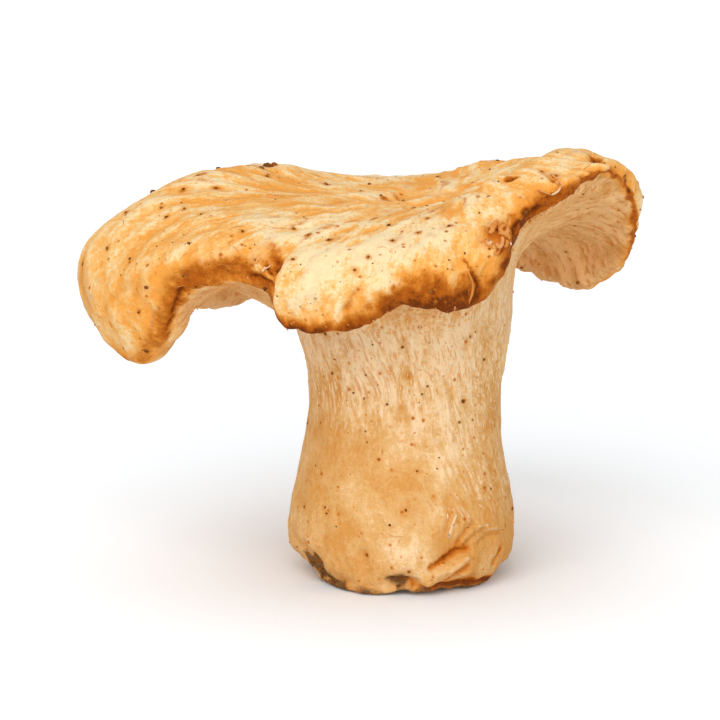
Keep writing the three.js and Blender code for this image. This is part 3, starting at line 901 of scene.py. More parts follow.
def crumb_mesh(centres, normals, radii, seed):
    """Many rough crumbs as one mesh, and a tone for each point. A crumb is a small ball of rings whose points
    are pushed in and out at random, flattened along the skin's normal and turned at random about it."""
    rng = np.random.default_rng(seed)
    latitude = np.linspace(0, math.pi, CRUMB_RINGS + 2)[:, None]
    longitude = np.arange(CRUMB_SIDES)[None] * 2 * math.pi / CRUMB_SIDES
    ball = np.stack([np.sin(latitude) * np.cos(longitude), np.sin(latitude) * np.sin(longitude),
                     np.cos(latitude) + 0 * longitude], -1)
    unit, faces = closed_grid(ball)
    count = len(centres)
    side, other = across(normals)
    turn = rng.uniform(0, 2 * math.pi, count)[:, None]
    first = side * np.cos(turn) + other * np.sin(turn)
    rough = unit[None] * rng.uniform(*CRUMB_ROUGHNESS, (count, len(unit), 1))
    stretch = rng.uniform(*CRUMB_STRETCH, count)[:, None, None]
    local = rough[..., 0:1] * first[:, None] * stretch
    local += rough[..., 1:2] * np.cross(normals, first)[:, None]
    local += rough[..., 2:3] * normals[:, None] * CRUMB_FLATNESS
    points = centres[:, None] + local * radii[:, None, None]
    starts = np.arange(count) * len(unit)
    numbered = [[corner + start for corner in face] for start in starts.tolist() for face in faces]
    tone = np.repeat(rng.uniform(0, 1, count) ** 0.9, len(unit))
    return points.reshape(-1, 3), numbered, tone


# ---- Shader trees ----

class Value:
    """A number that varies over a surface: arithmetic on it adds the Math nodes that it stands for."""

    def __init__(self, shader, socket):
        self.shader = shader
        self.socket = socket

    def _math(self, operation, first, second):
        return self.shader.value("ShaderNodeMath", {"operation": operation}, {0: first, 1: second})

    def __add__(self, other):
        return self._math("ADD", self, other)

    __radd__ = __add__

    def __sub__(self, other):
        return self._math("SUBTRACT", self, other)

    def __rsub__(self, other):
        return self._math("SUBTRACT", other, self)

    def __mul__(self, other):
        return self._math("MULTIPLY", self, other)

    __rmul__ = __mul__


class Shader:
    """The node tree of one material or world."""

    def __init__(self, owner):
        owner.use_nodes = True
        self.owner = owner
        self.tree = owner.node_tree

    def node(self, kind, settings, inputs):
        """Any node: its type, its settings, then the values or links of its inputs."""
        node = self.tree.nodes.new(kind)
        for key, setting in settings.items():
            setattr(node, key, setting)
        for key, entry in inputs.items():
            self.feed(node.inputs[key], entry)
        return node

    def feed(self, socket, entry):
        """Links a value or an output to a socket, or writes a plain number or colour there."""
        if isinstance(entry, Value):
            entry = entry.socket
        if isinstance(entry, bpy.types.NodeSocket):
            self.tree.links.new(entry, socket)
        else:
            socket.default_value = entry

    def value(self, kind, settings, inputs, output=0):
        """The number that a new node puts out."""
        return Value(self, self.node(kind, settings, inputs).outputs[output])

    def layer(self, name):
        """A float attribute of the piece."""
        return self.value("ShaderNodeAttribute", {"attribute_name": name}, {}, "Fac")

    def here(self):
        """Object coordinates."""
        return self.node("ShaderNodeTexCoord", {}, {}).outputs["Object"]

    def cloud(self, vector, scale, detail=2.0, roughness=0.5):
        """Noise from 0 to 1."""
        return self.value("ShaderNodeTexNoise", {"noise_dimensions": "3D"},
                          {"Vector": vector, "Scale": scale, "Detail": detail, "Roughness": roughness}, "Fac")

    def streaks(self, cells, *texture):
        """Noise from 0 to 1 in the growth coordinates, scaled by one number across them and another along."""
        source = self.node("ShaderNodeAttribute", {"attribute_name": "flow"}, {})
        flow = self.node("ShaderNodeVectorMath", {"operation": "MULTIPLY"},
                         {0: source.outputs["Vector"], 1: (cells[0], cells[0], cells[1])})
        return self.cloud(flow.outputs[0], *texture)

    def specks(self, vector, scale, size, share):
        """Soft specks from 0 to 1 at scattered points: a share of the points has one, up to a given size."""
        node = self.node("ShaderNodeTexVoronoi", {"feature": "F1"}, {"Vector": vector, "Scale": scale})
        chance = self.value("ShaderNodeSeparateColor", {}, {0: node.outputs["Color"]}, 0)
        radius = self.ramp(chance, 1 - share, 1.1) * size
        return 1 - self.ramp(Value(self, node.outputs["Distance"]) - radius, -0.6 * size, 0.1 * size)

    def ramp(self, factor, low, high):
        """A smooth step of a value, from 0 at low to 1 at high."""
        return self.value("ShaderNodeMapRange", {"interpolation_type": "SMOOTHSTEP"},
                          {"Value": factor, "From Min": low, "From Max": high})

    def blend(self, factor, first, second):
        """A colour from first to second by a factor. Each is a plain colour or another blend."""
        ends = (end if isinstance(end, bpy.types.NodeSocket) else rgba(end) for end in (first, second))
        first, second = ends
        return self.node("ShaderNodeMix", {"data_type": "RGBA", "clamp_factor": True},
                         {0: factor, 6: first, 7: second}).outputs[2]

    def bump(self, height, distance, strength, normal=None):
        """A normal that a height tilts, on top of another normal if there is one."""
        inputs = {"Height": height, "Distance": distance, "Strength": strength}
        if normal is not None:
            inputs["Normal"] = normal
        return self.node("ShaderNodeBump", {}, inputs).outputs[0]

    def finish(self, **inputs):
        """Feeds the inputs of a material's Principled BSDF and gives the material."""
        surface = self.tree.nodes["Principled BSDF"]
        for key, entry in inputs.items():
            self.feed(surface.inputs[key.replace("_", " ")], entry)
        return self.owner


def new_material(name):
    """The shader of a new material."""
    return Shader(bpy.data.materials.new(name))


def rgba(colour):
    """A colour with full alpha."""
    return (*colour, 1.0)


# Noise in the flesh: scale, detail, roughness.
BLOTCH = (380.0, 2.0, 0.5)
MOTTLE = (950.0, 3.0, 0.65)
GRAIN = (2600.0, 2.0, 0.6)
# Noise along the growth: cells across and along; then scale, detail, roughness.
STREAK = ((42, 3.0), 1.0, 3.0, 0.65)
DASH = ((40, 5.0), 1.0, 1.0, 0.5)
FLECK = ((34, 4.2), 1.3, 1.0, 0.5)
FIBRE = ((60, 9.0), 1.0, 2.0, 0.6)
DASH_STEP = (0.55, 0.68)
FLECK_STEP = (0.56, 0.67)

# Which colour the stains and the painted shade reach, and between which strengths.
STAIN_AND_SHADE_STEPS = (("rust", 0.0, 0.55), ("brown", 0.35, 0.85), ("dark_brown", 0.8, 1.25))
# where stain and shade goes below 0: bleached skin, and painted highlights on fold crests and beside the torn
# pits
BLEACH_AND_HIGHLIGHT_STEP = (0.15, 0.5)
# Specks: strength, scale, size, the share of points that have one, and their colour.
SPECKS = ((0.75, 640.0, 0.30, 0.8, "rust"), (0.85, 640.0, 0.21, 0.65, "brown"))
FINE_SPECKS = (1100.0, 0.26, 0.7)  # scale, size, share
SOIL_STEP = (0.05, 0.75)

# Flesh hardly shines, and light goes a little way into it, red light the furthest.
GLOSS = 0.10
DEPTH_SHARE = 0.12
DEPTH_RADIUS = (1.0, 0.5, 0.25)


def flesh_material(settings):
    """Cap skin, hollow and stem in one material, told apart by the piece's own layers.

    A tone, made of the tone layer and finer noise, picks between ochre, tan and cream. The stem and the
    hollow have colours of their own, and short upright or radial dashes. Over that go stains with the painted
    shade of creases, pits and the turned-under edge, painted highlights, specks and soil."""
    shader = new_material("mushroom_flesh")
    here = shader.here()
    stem_mask = shader.layer("stem")
    outer = shader.layer("outer")
    blotch = shader.cloud(here, *BLOTCH)
    mottle = shader.cloud(here, *MOTTLE)
    grain = shader.cloud(here, *GRAIN)
    streak = shader.streaks(*STREAK)
    fine_tone = 1.4 * (mottle - 0.5) + 0.4 * (blotch - 0.5) + 1.1 * (grain - 0.5)
    streaked = (1.5 - 1.3 * stem_mask) * (streak - 0.5) * outer
    tone = shader.layer("tone") + (1 - 0.3 * stem_mask) * fine_tone + streaked

    skin = shader.blend(shader.ramp(tone, -0.05, 0.5), settings.ochre, settings.tan)
    skin = shader.blend(shader.ramp(tone, 0.35, 1.0), skin, settings.cream)
    hollow = shader.blend(shader.ramp(tone, -0.3, 0.8), settings.stem_ochre, settings.hollow)
    stem = shader.blend(shader.ramp(tone, -0.15, 0.5), settings.stem_ochre, settings.stem)
    stem = shader.blend(shader.ramp(tone, 0.35, 0.95), stem, settings.stem_light)

    dashes = shader.ramp(shader.streaks(*DASH), *DASH_STEP)
    flecks = shader.ramp(shader.streaks(*FLECK), *FLECK_STEP)
    dashed = shader.layer("dashed")
    stem = shader.blend(0.65 * flecks * dashed, stem, settings.scar_and_highlight)
    stem = shader.blend(0.55 * dashes * dashed, stem, settings.rust)
    hollow = shader.blend(0.65 * dashes, hollow, settings.rust)
    colour = shader.blend(shader.layer("hollow"), skin, hollow)
    colour = shader.blend(stem_mask, colour, stem)

    stain = shader.layer("stain")
    fibre = shader.streaks(*FIBRE)
    uneven = 0.85 * (mottle - 0.5) + 0.3 * (grain - 0.5) + 0.5 * (fibre - 0.5)
    stain = stain + (0.25 + 0.75 * shader.ramp(stain, 0.05, 0.4)) * uneven
    # stains and the painted shade of creases, pits and the turned-under edge step from rust to dark brown;
    # bleach and painted highlights take the scar colour
    for name, low, high in STAIN_AND_SHADE_STEPS:
        colour = shader.blend(shader.ramp(stain, low, high), colour, getattr(settings, name))
    colour = shader.blend(shader.ramp(0 - stain, *BLEACH_AND_HIGHLIGHT_STEP), colour, settings.scar_and_highlight)

    for strength, scale, size, share, name in SPECKS:
        specks = strength * shader.specks(here, scale, size, share)
        colour = shader.blend(specks, colour, getattr(settings, name))
    specks = (0.5 + 0.4 * stem_mask) * shader.specks(here, *FINE_SPECKS)
    colour = shader.blend(specks, colour, settings.rust)
    soiled = shader.ramp(shader.layer("soil") + 0.8 * (mottle - 0.5), *SOIL_STEP)
    colour = shader.blend(soiled, colour, settings.soil)

    normal = shader.bump(mottle, 0.0005, 0.6)
    normal = shader.bump(streak * outer, 0.0005, 0.4, normal)
    normal = shader.bump(grain, 0.00012, 0.6, normal)
    return shader.finish(Base_Color=colour, Roughness=0.55 + 0.25 * mottle, Normal=normal, IOR=1.4,
                         Specular_IOR_Level=GLOSS, Subsurface_Weight=DEPTH_SHARE,
                         Subsurface_Radius=DEPTH_RADIUS, Subsurface_Scale=0.0015)


def spine_material(name, root, tip):
    """Spines, threads, fibres and shreds: one colour where the tip layer is low, another where it is high."""
    shader = new_material(name)
    mottle = shader.cloud(shader.here(), 900.0, 2.0)
    along = shader.layer("tip") + 0.7 * (mottle - 0.5)
    colour = shader.blend(shader.ramp(along, 0.2, 1.1), root, tip)
    return shader.finish(Base_Color=colour, Roughness=0.6, Specular_IOR_Level=GLOSS,
                         Subsurface_Weight=DEPTH_SHARE, Subsurface_Radius=DEPTH_RADIUS,
                         Subsurface_Scale=0.001)


def soil_material(settings):
    """Soil crumbs: near black to brown, each with its own tone."""
    shader = new_material("mushroom_soil")
    mottle = shader.cloud(shader.here(), 2400.0, 3.0)
    tone = shader.layer("tone") + 0.3 * (mottle - 0.5)
    colour = shader.blend(tone, settings.soil_dark, settings.soil_light)
    return shader.finish(Base_Color=colour, Roughness=0.85, Specular_IOR_Level=GLOSS,
                         Normal=shader.bump(mottle, 0.0001, 0.8))


# ---- Settings ----

def colour_property(name, description, default):
    """A colour that a user can change."""
    return FloatVectorProperty(name=name, description=description, default=default, size=3, subtype="COLOR",
                               min=0, max=1)


class MushroomColours(bpy.types.PropertyGroup):
    """The colours of the flesh, its stains and the soil"""
    tan: colour_property("Tan", "Most of the cap's skin", (0.95, 0.535, 0.175))
    # cream also carries the painted highlight on the front lobe and the raised edge
    cream: colour_property("Cream", "Pale parts of the cap's skin", (0.98, 0.76, 0.44))
    ochre: colour_property("Ochre", "Warm streaks and patches of the cap", (0.92, 0.385, 0.070))
    # rust, brown and dark brown also paint the shade in creases, pits, slits and where the edge turns under
    rust: colour_property("Rust", "Specks, dashes and the outer part of a stain", (0.66, 0.225, 0.024))
    brown: colour_property("Brown", "The stained edge", (0.45, 0.108, 0.006))
    dark_brown: colour_property("Dark brown", "The darkest stains", (0.18, 0.036, 0.002))
    # the scar colour also paints highlights on fold crests and beside the torn pits
    scar_and_highlight: colour_property("Scar", "Bleached threads, flecks and scars", (0.95, 0.76, 0.52))
    torn: colour_property("Torn skin", "The curls of the wart and torn ends", (0.72, 0.265, 0.05))
    hollow: colour_property("Hollow", "The flesh under the cap and the spines", (0.93, 0.57, 0.255))
    stem: colour_property("Stem", "The stem's flesh", (0.76, 0.445, 0.17))
    # the stem's top leans to this colour partly as painted light, against the cap's shade
    stem_light: colour_property("Stem light", "The stem's pale parts", (0.92, 0.66, 0.385))
    # the stem's lower part leans to this colour partly as painted shade
    stem_ochre: colour_property("Stem ochre", "The stem's warm patches", (0.68, 0.32, 0.08))
    soil: colour_property("Soil stain", "Soil rubbed into the foot", (0.20, 0.10, 0.035))
    soil_dark: colour_property("Soil dark", "The darkest crumbs", (0.12, 0.042, 0.008))
    soil_light: colour_property("Soil light", "The lightest crumbs", (0.36, 0.12, 0.020))


class SkinSettings(bpy.types.PropertyGroup):
    """How fine the skin's grid is"""
    rows: IntProperty(name="Rows", description="Rings of points along the outline", default=228, min=40)
    columns: IntProperty(name="Columns", description="Points round each ring", default=424, min=40)


class SpineSettings(bpy.types.PropertyGroup):
    """The spines' size and how thickly they stand"""
    spacing: FloatProperty(name="Spacing", description="Distance between spines, mm", default=0.85, min=0.4)
    length: FloatProperty(name="Length", description="Longest spine under the cap, mm", default=1.15, min=0.2)
    radius: FloatProperty(name="Radius", description="A spine's radius at its root, mm", default=0.22,
                          min=0.05)


class SoilSettings(bpy.types.PropertyGroup):
    """How much soil sticks to the mushroom"""
    crumbs: IntProperty(name="Crumbs", description="Small crumbs over the cap and stem", default=360, min=0)
    foot_crumbs: IntProperty(name="Foot crumbs", description="Crumbs that stick to the foot", default=420,
                             min=0)
    size: FloatProperty(name="Size", description="A small crumb's radius, mm", default=0.2, min=0.02)


class StageSettings(bpy.types.PropertyGroup):
    """The camera, the lights and the floor"""
    elevation: FloatProperty(name="Elevation", description="Camera height angle", default=math.radians(12),
                             subtype="ANGLE")
    distance: FloatProperty(name="Distance", description="Camera distance", default=0.6, min=0.1,
                            unit="LENGTH")
    lens: FloatProperty(name="Lens", description="Camera focal length, mm", default=198.0, min=10)
    key: FloatProperty(name="Key light", description="The broad light from the upper left front", default=1.5)
    fill: FloatProperty(name="Fill light", description="The weak low light from the right front", default=0.8)
    sky: FloatProperty(name="Sky", description="The even light from all round", default=0.54, min=0)
    glow: FloatProperty(name="Floor glow", description="Light the floor adds to its own white", default=0.23)


# ---- What the operators build ----

RING_SAMPLES = 60  # a ring's radius is the mean of this many points round it
RING_JITTER = 0.33  # every spot moves by up to this share of the spacing

# Spines in the hollow: the places they stand between; the bearings of the raised lobe, with soft ends; where
# they reach their full length, and where they lose it again near the stem; and the bearings past which and
# before which they lie under the left lobe, with soft ends.
SPINE_PLACES = (8.9, 13.4)
RAISED_LOBE = ((-62, -40), (45, 75))
LONG_SPINES = (9.6, 11.0)
NEAR_STEM = (11.8, 12.8)
LEFT_LOBE = ((120, 150), (-118, -108))
SPINE_ROOT = 0.12  # how deep a spine is set into the flesh

# Flattened spines on the stem: their places, where they thin out, and how much further apart they stand.
STEM_SPINE_PLACES = (13.9, 15.6)
THINNING = (14.2, 15.7)
STEM_SPACING = 1.15
STEM_SPINE_ROOT = 0.08

# The wart's middle, and its curls of torn skin: how far round the cap and how far up the skin a curl's middle
# lies from the wart's, its radius, the angle where it starts, the angle that it turns by, its thickness, and
# its tone, which is pale at 0.2 or less and brown at 1.1 or more.
WART = (13.9, -22.0, 55.6)
WART_CURLS = np.array([
    (0.83, 0.61, 0.56, 40, 320, 0.36, 1.00), (-0.99, 1.67, 0.26, 200, 250, 0.36, 0.95),
    (0.55, 2.00, 0.34, 20, 200, 0.30, 1.10), (-1.67, 0.72, 0.30, 100, 220, 0.38, 0.85),
    (-0.46, -0.08, 0.52, 180, 190, 0.34, 0.90), (-0.90, -0.58, 0.62, 200, 130, 0.24, 1.10),
    (0.68, -0.42, 0.24, 300, 200, 0.32, 1.20), (0.05, 0.30, 0.22, 300, 200, 0.28, 1.25),
    (-0.11, 1.94, 0.24, 90, 200, 0.30, 1.10), (0.25, -0.79, 0.28, 250, 160, 0.28, 1.25),
    (-1.50, 0.07, 0.22, 100, 160, 0.26, 1.20),
])
CURL_LIFT = 0.3  # how far a curl's middle line lies above the skin, as a share of its thickness

# Torn threads of skin: path, radius and tone. They lie over the front edge, beside the wart, on the raised
# edge, in the crease of the left lobe and, as scars, low on the stem.
THREADS = (
    (((9.1, -25.8, 51.4), (9.9, -25.4, 50.1), (10.3, -24.7, 48.9), (10.2, -24.4, 48.0), (10.0, -24.2, 46.0)),
     0.19, 1.3),
    (((15.4, -22.2, 54.9), (15.8, -22.0, 54.4)), 0.14, 0.2),
    (((21.7, -12.3, 63.4), (22.6, -14.0, 62.7), (23.4, -15.2, 62.0)), 0.15, 0.85),
    (((23.1, -15.4, 61.7), (22.5, -15.7, 61.1), (21.8, -16.1, 60.6)), 0.17, 0.60),
    (((19.5, -15.2, 61.7), (20.5, -16.0, 61.3), (21.6, -16.2, 60.8)), 0.11, 0.95),
    (((-20.6, -22.4, 50.7), (-20.3, -22.5, 50.9), (-20.1, -22.4, 51.4)), 0.15, 0.5),
    (((-20.1, -22.5, 51.1), (-19.5, -22.4, 51.6)), 0.13, 0.6),
    (((6.8, -14.6, 12.5), (6.8, -14.8, 11.7)), 0.11, 0.3),
    (((7.9, -14.1, 12.2), (7.4, -14.6, 10.9), (6.8, -15.1, 9.0)), 0.16, 0.5),
)
THREAD_STEPS = 14
THREAD_SIDES = 8
THREAD_LIFT = 0.12  # how far a torn thread's middle line lies above the skin

# Fibres and shreds. Each row is how many there are and between which places.
FIBRES = ((90, 1.5, 8.0), (18, 13.5, 20.0))
FIBRE_STEPS = 8
FIBRE_LIFT = (0.02, 0.06)  # a fibre's ends lie this far above the skin, and its middle so much more
FIBRE_TONES = ((0.85, 1.1, 1.4), (0.2, 0.4, 0.4))  # tones, and the share of the fibres that has each
SHREDS = ((70, 7.0, 8.9), (40, 18.0, 20.0))
SHRED_LENGTH = 0.7
SHRED_ROOT = 0.1

# Soil. Small crumbs lie on the cap as far out as this place and, a third of them, between two on the stem.
CAP_CRUMBS = 8
STEM_CRUMBS = (13.5, 19.5)
CRUMB_SIZES = (1, 1, 1, 1.7)  # one small crumb in four is larger
NAMED_CRUMB_SHARE = 0.76  # a larger crumb's ball is this share of its radius, because its points stick out
CRUMB_LIFT = 0.05  # a crumb's middle lies this share of its radius above the skin
FOOT_CRUMBS = (18.2, 20.8)
FOOT_CRUMB_SIZE = 0.32
FOOT_TRIES = 12  # so many places are tried for each crumb at the foot

# the fading glow paints a darker ring of shade on the floor round the foot
GLOW_FADE = (0.005, 0.055)  # how far from the middle of the foot the floor's glow begins and is full
LIT_PAPER = (0.9, 0.9, 0.9)  # the floor's colour for the light that it throws back
SEEN_PAPER = (0.92, 0.95, 0.972)  # and as it is seen, cool enough to balance the mushroom's warm light
FLOOR_HALF = 4.0  # half of the floor's side, in metres
FLOOR_DROP = 0.0001  # and how far under the foot it lies
# Each lamp's spread in degrees and the point that it shines from.
LAMPS = {"key": (50, (-0.25, -0.72, 0.62)), "fill": (60, (0.5, -0.9, 0.12))}


def current_skin(scene):
    """The skin at the grid that the settings ask for."""
    return mushroom_skin(scene.mushroom_skin.rows, scene.mushroom_skin.columns)


def scatter_rings(skin, first, last, spacing, seed):
    """Places and bearings about one spacing apart between two places on the outline: rings one spacing apart,
    each divided evenly and shifted at random, with every spot moved by up to a third of the spacing."""
    rng = np.random.default_rng(seed)
    mean_length = skin.length.mean(1)
    start, stop = np.interp([first, last], skin.place, mean_length)
    sampled = np.arange(RING_SAMPLES) * 360 / RING_SAMPLES - 180
    places, bearings = [], []
    for ring in np.arange(start, stop, spacing):
        place = np.full(RING_SAMPLES, np.interp(ring, mean_length, skin.place))
        radius = np.hypot(*at_places(skin, skin.points, place, sampled)[:, :2].T).mean()
        count = int(2 * math.pi * radius / spacing)
        shifted = np.arange(count) + rng.uniform() + rng.uniform(-RING_JITTER, RING_JITTER, count)
        bearings.append(shifted * 360 / count - 180)
        along = ring + rng.uniform(-RING_JITTER, RING_JITTER, count) * spacing
        places.append(np.interp(along, mean_length, skin.place))
    return np.concatenate(places), (np.concatenate(bearings) + 180) % 360 - 180


def scatter_spans(rng, spans):
    """Random places and bearings: a count between two places for each span, all round."""
    place = np.concatenate([rng.uniform(first, last, count) for count, first, last in spans])
    return place, rng.uniform(-180, 180, len(place))


def even_path(corners, steps):
    """A path through the corners, resampled evenly and rounded off by averaging neighbours twice."""
    path = path_points(corners, lambda total: np.linspace(0, total, steps))
    for _ in range(2):
        path[1:-1] = (path[:-2] + 2 * path[1:-1] + path[2:]) / 4
    return path


def skin_paths(skin, place, bearing, heading, curl, length, steps):
    """Paths that lie on the skin, one per start: each walks "length" millimetres, and its heading, measured
    from the line of growth, turns evenly by "curl"."""
    share = np.linspace(0, 1, steps)
    angle = heading[:, None] + curl[:, None] * share
    stride = (length / (steps - 1))[:, None]
    row = np.interp(place, skin.place, np.arange(len(skin.place)))
    growth = np.interp(place, skin.place, np.gradient(skin.length.mean(1)))
    rows = row[:, None] + np.cumsum(np.cos(angle) * stride, axis=1) / growth[:, None]
    start = at_places(skin, skin.points, place, bearing)
    around = np.maximum(np.hypot(start[:, 0], start[:, 1]), 2)
    bearings = bearing[:, None] + np.degrees(np.cumsum(np.sin(angle) * stride, axis=1) / around[:, None])
    places = np.interp(rows, np.arange(len(skin.place)), skin.place)
    points, normals = on_skin(skin, places.ravel(), bearings.ravel())
    lift = FIBRE_LIFT[0] + FIBRE_LIFT[1] * np.sin(math.pi * share)[None, :, None]
    return points.reshape(len(place), steps, 3) + normals.reshape(len(place), steps, 3) * lift


# ---- Operators ----

class MUSHROOM_OT_skin(bpy.types.Operator):
    """Builds the mushroom's whole skin, cap, hollow and stem, as one closed surface"""
    bl_idname = "mushroom.skin"
    bl_label = "Mushroom skin"

    def execute(self, context):
        skin = current_skin(context.scene)
        points, faces = closed_grid(skin.points)
        layers = {key: closed_layer(layer) for key, layer in skin.layers.items()}
        material = flesh_material(context.scene.mushroom_colours)
        piece = write_mesh("mushroom_skin", points, faces, layers, material)
        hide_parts(NODE)
        return {"FINISHED"}


class MUSHROOM_OT_spines(bpy.types.Operator):
    """Builds the spines under the cap and the flattened ones that run down the top of the stem"""
    bl_idname = "mushroom.spines"
    bl_label = "Spines"

    def execute(self, context):
        settings = context.scene.mushroom_spines
        skin = current_skin(context.scene)
        colours = context.scene.mushroom_colours
        material = spine_material("mushroom_spines", colours.hollow, colours.ochre)
        self.cap_spines(skin, settings, material)
        self.stem_spines(skin, settings, material)
        return {"FINISHED"}

    def cap_spines(self, skin, settings, material):
        """Spines hang between the normal and straight down, are longest half way in, and lie nearly flat and
        short on the raised lobe at the right. They are short under the left lobe, too."""
        rng = np.random.default_rng(71)
        place, bearing = scatter_rings(skin, *SPINE_PLACES, settings.spacing, 72)
        roots, normals = on_skin(skin, place, bearing)
        outward = np.stack([np.cos(np.radians(bearing)), np.sin(np.radians(bearing)), 0 * bearing], -1)
        raised = between(bearing, *RAISED_LOBE)
        hanging = towards(normals + 1.2 * DOWN)
        flat = towards(0.45 * normals + outward)
        scatter = rng.normal(0, 0.12, roots.shape)
        directions = towards(hanging * (1 - raised)[:, None] + flat * raised[:, None] + scatter)
        inner = smooth(place, *LONG_SPINES) * (1 - 0.7 * smooth(place, *NEAR_STEM))
        left = np.maximum(smooth(bearing, *LEFT_LOBE[0]), 1 - smooth(bearing, *LEFT_LOBE[1]))
        short = (1 - 0.6 * raised) * (1 - 0.6 * left)
        lengths = settings.length * (0.10 + 0.90 * inner) * rng.uniform(0.7, 1.15, len(place)) * short
        radii = settings.radius * rng.uniform(0.8, 1.1, len(place)) * (1 - 0.3 * raised)
        bends = rng.normal(0, 0.10, roots.shape) * lengths[:, None]
        points, faces, share = spikes(roots - normals * SPINE_ROOT, directions, lengths, radii, bends)
        write_mesh("spines", points, faces, {"tip": share}, material)

    def stem_spines(self, skin, settings, material):
        """Spines on the stem's top lie along it, pointing down, and grow shorter and sparser downwards."""
        rng = np.random.default_rng(73)
        place, bearing = scatter_rings(skin, *STEM_SPINE_PLACES, settings.spacing * STEM_SPACING, 74)
        keep = rng.uniform(size=len(place)) > smooth(place, *THINNING)
        place, bearing = place[keep], bearing[keep]
        roots, normals = on_skin(skin, place, bearing)
        along = towards(DOWN - normals * (normals @ DOWN)[:, None])
        directions = towards(along + 0.14 * normals + rng.normal(0, 0.05, roots.shape))
        lengths = rng.uniform(0.8, 1.4, len(place)) * (1 - 0.4 * smooth(place, *STEM_SPINE_PLACES))
        radii = settings.radius * rng.uniform(0.6, 0.85, len(place))
        bends = -normals * 0.16 * lengths[:, None]
        points, faces, share = spikes(roots - normals * STEM_SPINE_ROOT, directions, lengths, radii, bends)
        write_mesh("stem_spines", points, faces, {"tip": 0.4 * share}, material)


class MUSHROOM_OT_threads(bpy.types.Operator):
    """Builds the torn threads, the curled wart, the fibres on the skin and the shreds along its edge"""
    bl_idname = "mushroom.threads"
    bl_label = "Threads and shreds"

    def execute(self, context):
        skin = current_skin(context.scene)
        colours = context.scene.mushroom_colours
        material = spine_material("mushroom_threads", colours.scar_and_highlight, colours.torn)
        self.torn_threads(skin, material)
        self.wart(skin, material)
        self.fibres(skin, material)
        self.shreds(skin, material)
        return {"FINISHED"}

    def write_tubes(self, name, paths, radii, sides, tones, material):
        """A piece of tubes, each with one tone."""
        points, faces = tubes(paths, radii, sides)
        tip = np.repeat(tones, len(points) // len(tones))
        write_mesh(name, points, faces, {"tip": tip}, material)

    def torn_threads(self, skin, material):
        """Each thread is laid on the skin: its points move along the skin's normal until they lie just over
        the surface, and are evened out. It thins to its ends and is a little lumpy."""
        paths = np.array([even_path(corners, THREAD_STEPS) for corners, _, _ in THREADS])
        drawn = paths.reshape(-1, 3)
        points, normals = on_skin(skin, *skin_places(skin, drawn))
        height = ((drawn - points) * normals).sum(-1, keepdims=True)
        laid = drawn + normals * (THREAD_LIFT - height)
        paths = np.array([even_path(path, THREAD_STEPS) for path in laid.reshape(paths.shape)])
        share = np.linspace(0, 1, THREAD_STEPS)
        radii = np.array([radius for _, radius, _ in THREADS])[:, None]
        lumps = 1 + 0.15 * np.sin(9 * share + radii * 40)
        radii = radii * (0.45 + 0.55 * np.sin(math.pi * share) ** 0.6) * lumps
        tones = [tone for _, _, tone in THREADS]
        self.write_tubes("torn_threads", paths, radii, THREAD_SIDES, tones, material)

    def wart(self, skin, material):
        """Curls of torn skin crowd together on the wart: each is part of a circle, half sunk into it."""
        right, up, radius, start, sweep, thickness, tone = WART_CURLS.T[:, :, None]
        share = np.linspace(0, 1, THREAD_STEPS)
        angle = np.radians(start + sweep * share)
        (middle_place,), (middle_bearing,) = skin_places(skin, [np.array(WART)])
        down = skin.length[:, np.argmin(np.abs(skin.bearing - middle_bearing))]
        middle_down = np.interp(middle_place, skin.place, down)
        place = np.interp(middle_down - up - radius * np.sin(angle), down, skin.place)
        bearing = middle_bearing + np.degrees((right + radius * np.cos(angle)) / math.hypot(*WART[:2]))
        points, normals = on_skin(skin, place.ravel(), bearing.ravel())
        paths = points + CURL_LIFT * (thickness + 0 * place).reshape(-1, 1) * normals
        radii = thickness * (0.55 + 0.45 * np.sin(math.pi * share) ** 0.5)
        self.write_tubes("wart_curls", paths.reshape(*place.shape, 3), radii, THREAD_SIDES, tone.ravel(),
                         material)

    def fibres(self, skin, material):
        """Fibres lie on the cap and on the stem, most of them along the growth, bent a little."""
        rng = np.random.default_rng(85)
        place, bearing = scatter_spans(rng, FIBRES)
        count = len(place)
        paths = skin_paths(skin, place, bearing, rng.normal(0, 0.8, count), rng.normal(0, 0.9, count),
                           rng.uniform(0.8, 2.6, count), FIBRE_STEPS)
        taper = 0.4 + 0.6 * np.sin(math.pi * np.linspace(0, 1, FIBRE_STEPS))
        radii = rng.uniform(0.04, 0.07, count)[:, None] * taper
        tones, shares = FIBRE_TONES
        self.write_tubes("fibres", paths, radii, 5, rng.choice(tones, count, p=shares), material)

    def shreds(self, skin, material):
        """Shreds stand out from the cap's edge and low on the stem."""
        rng = np.random.default_rng(81)
        place, bearing = scatter_spans(rng, SHREDS)
        roots, normals = on_skin(skin, place, bearing)
        directions = towards(normals + rng.normal(0, 0.6, roots.shape))
        lengths = SHRED_LENGTH * rng.uniform(0.3, 1.0, len(place)) ** 1.5
        radii = rng.uniform(0.10, 0.20, len(place))
        bends = rng.normal(0, 0.3, roots.shape) * lengths[:, None]
        points, faces, share = spikes(roots - normals * SHRED_ROOT, directions, lengths, radii, bends)
        write_mesh("shreds", points, faces, {"tip": 0.8 + 0.5 * share}, material)


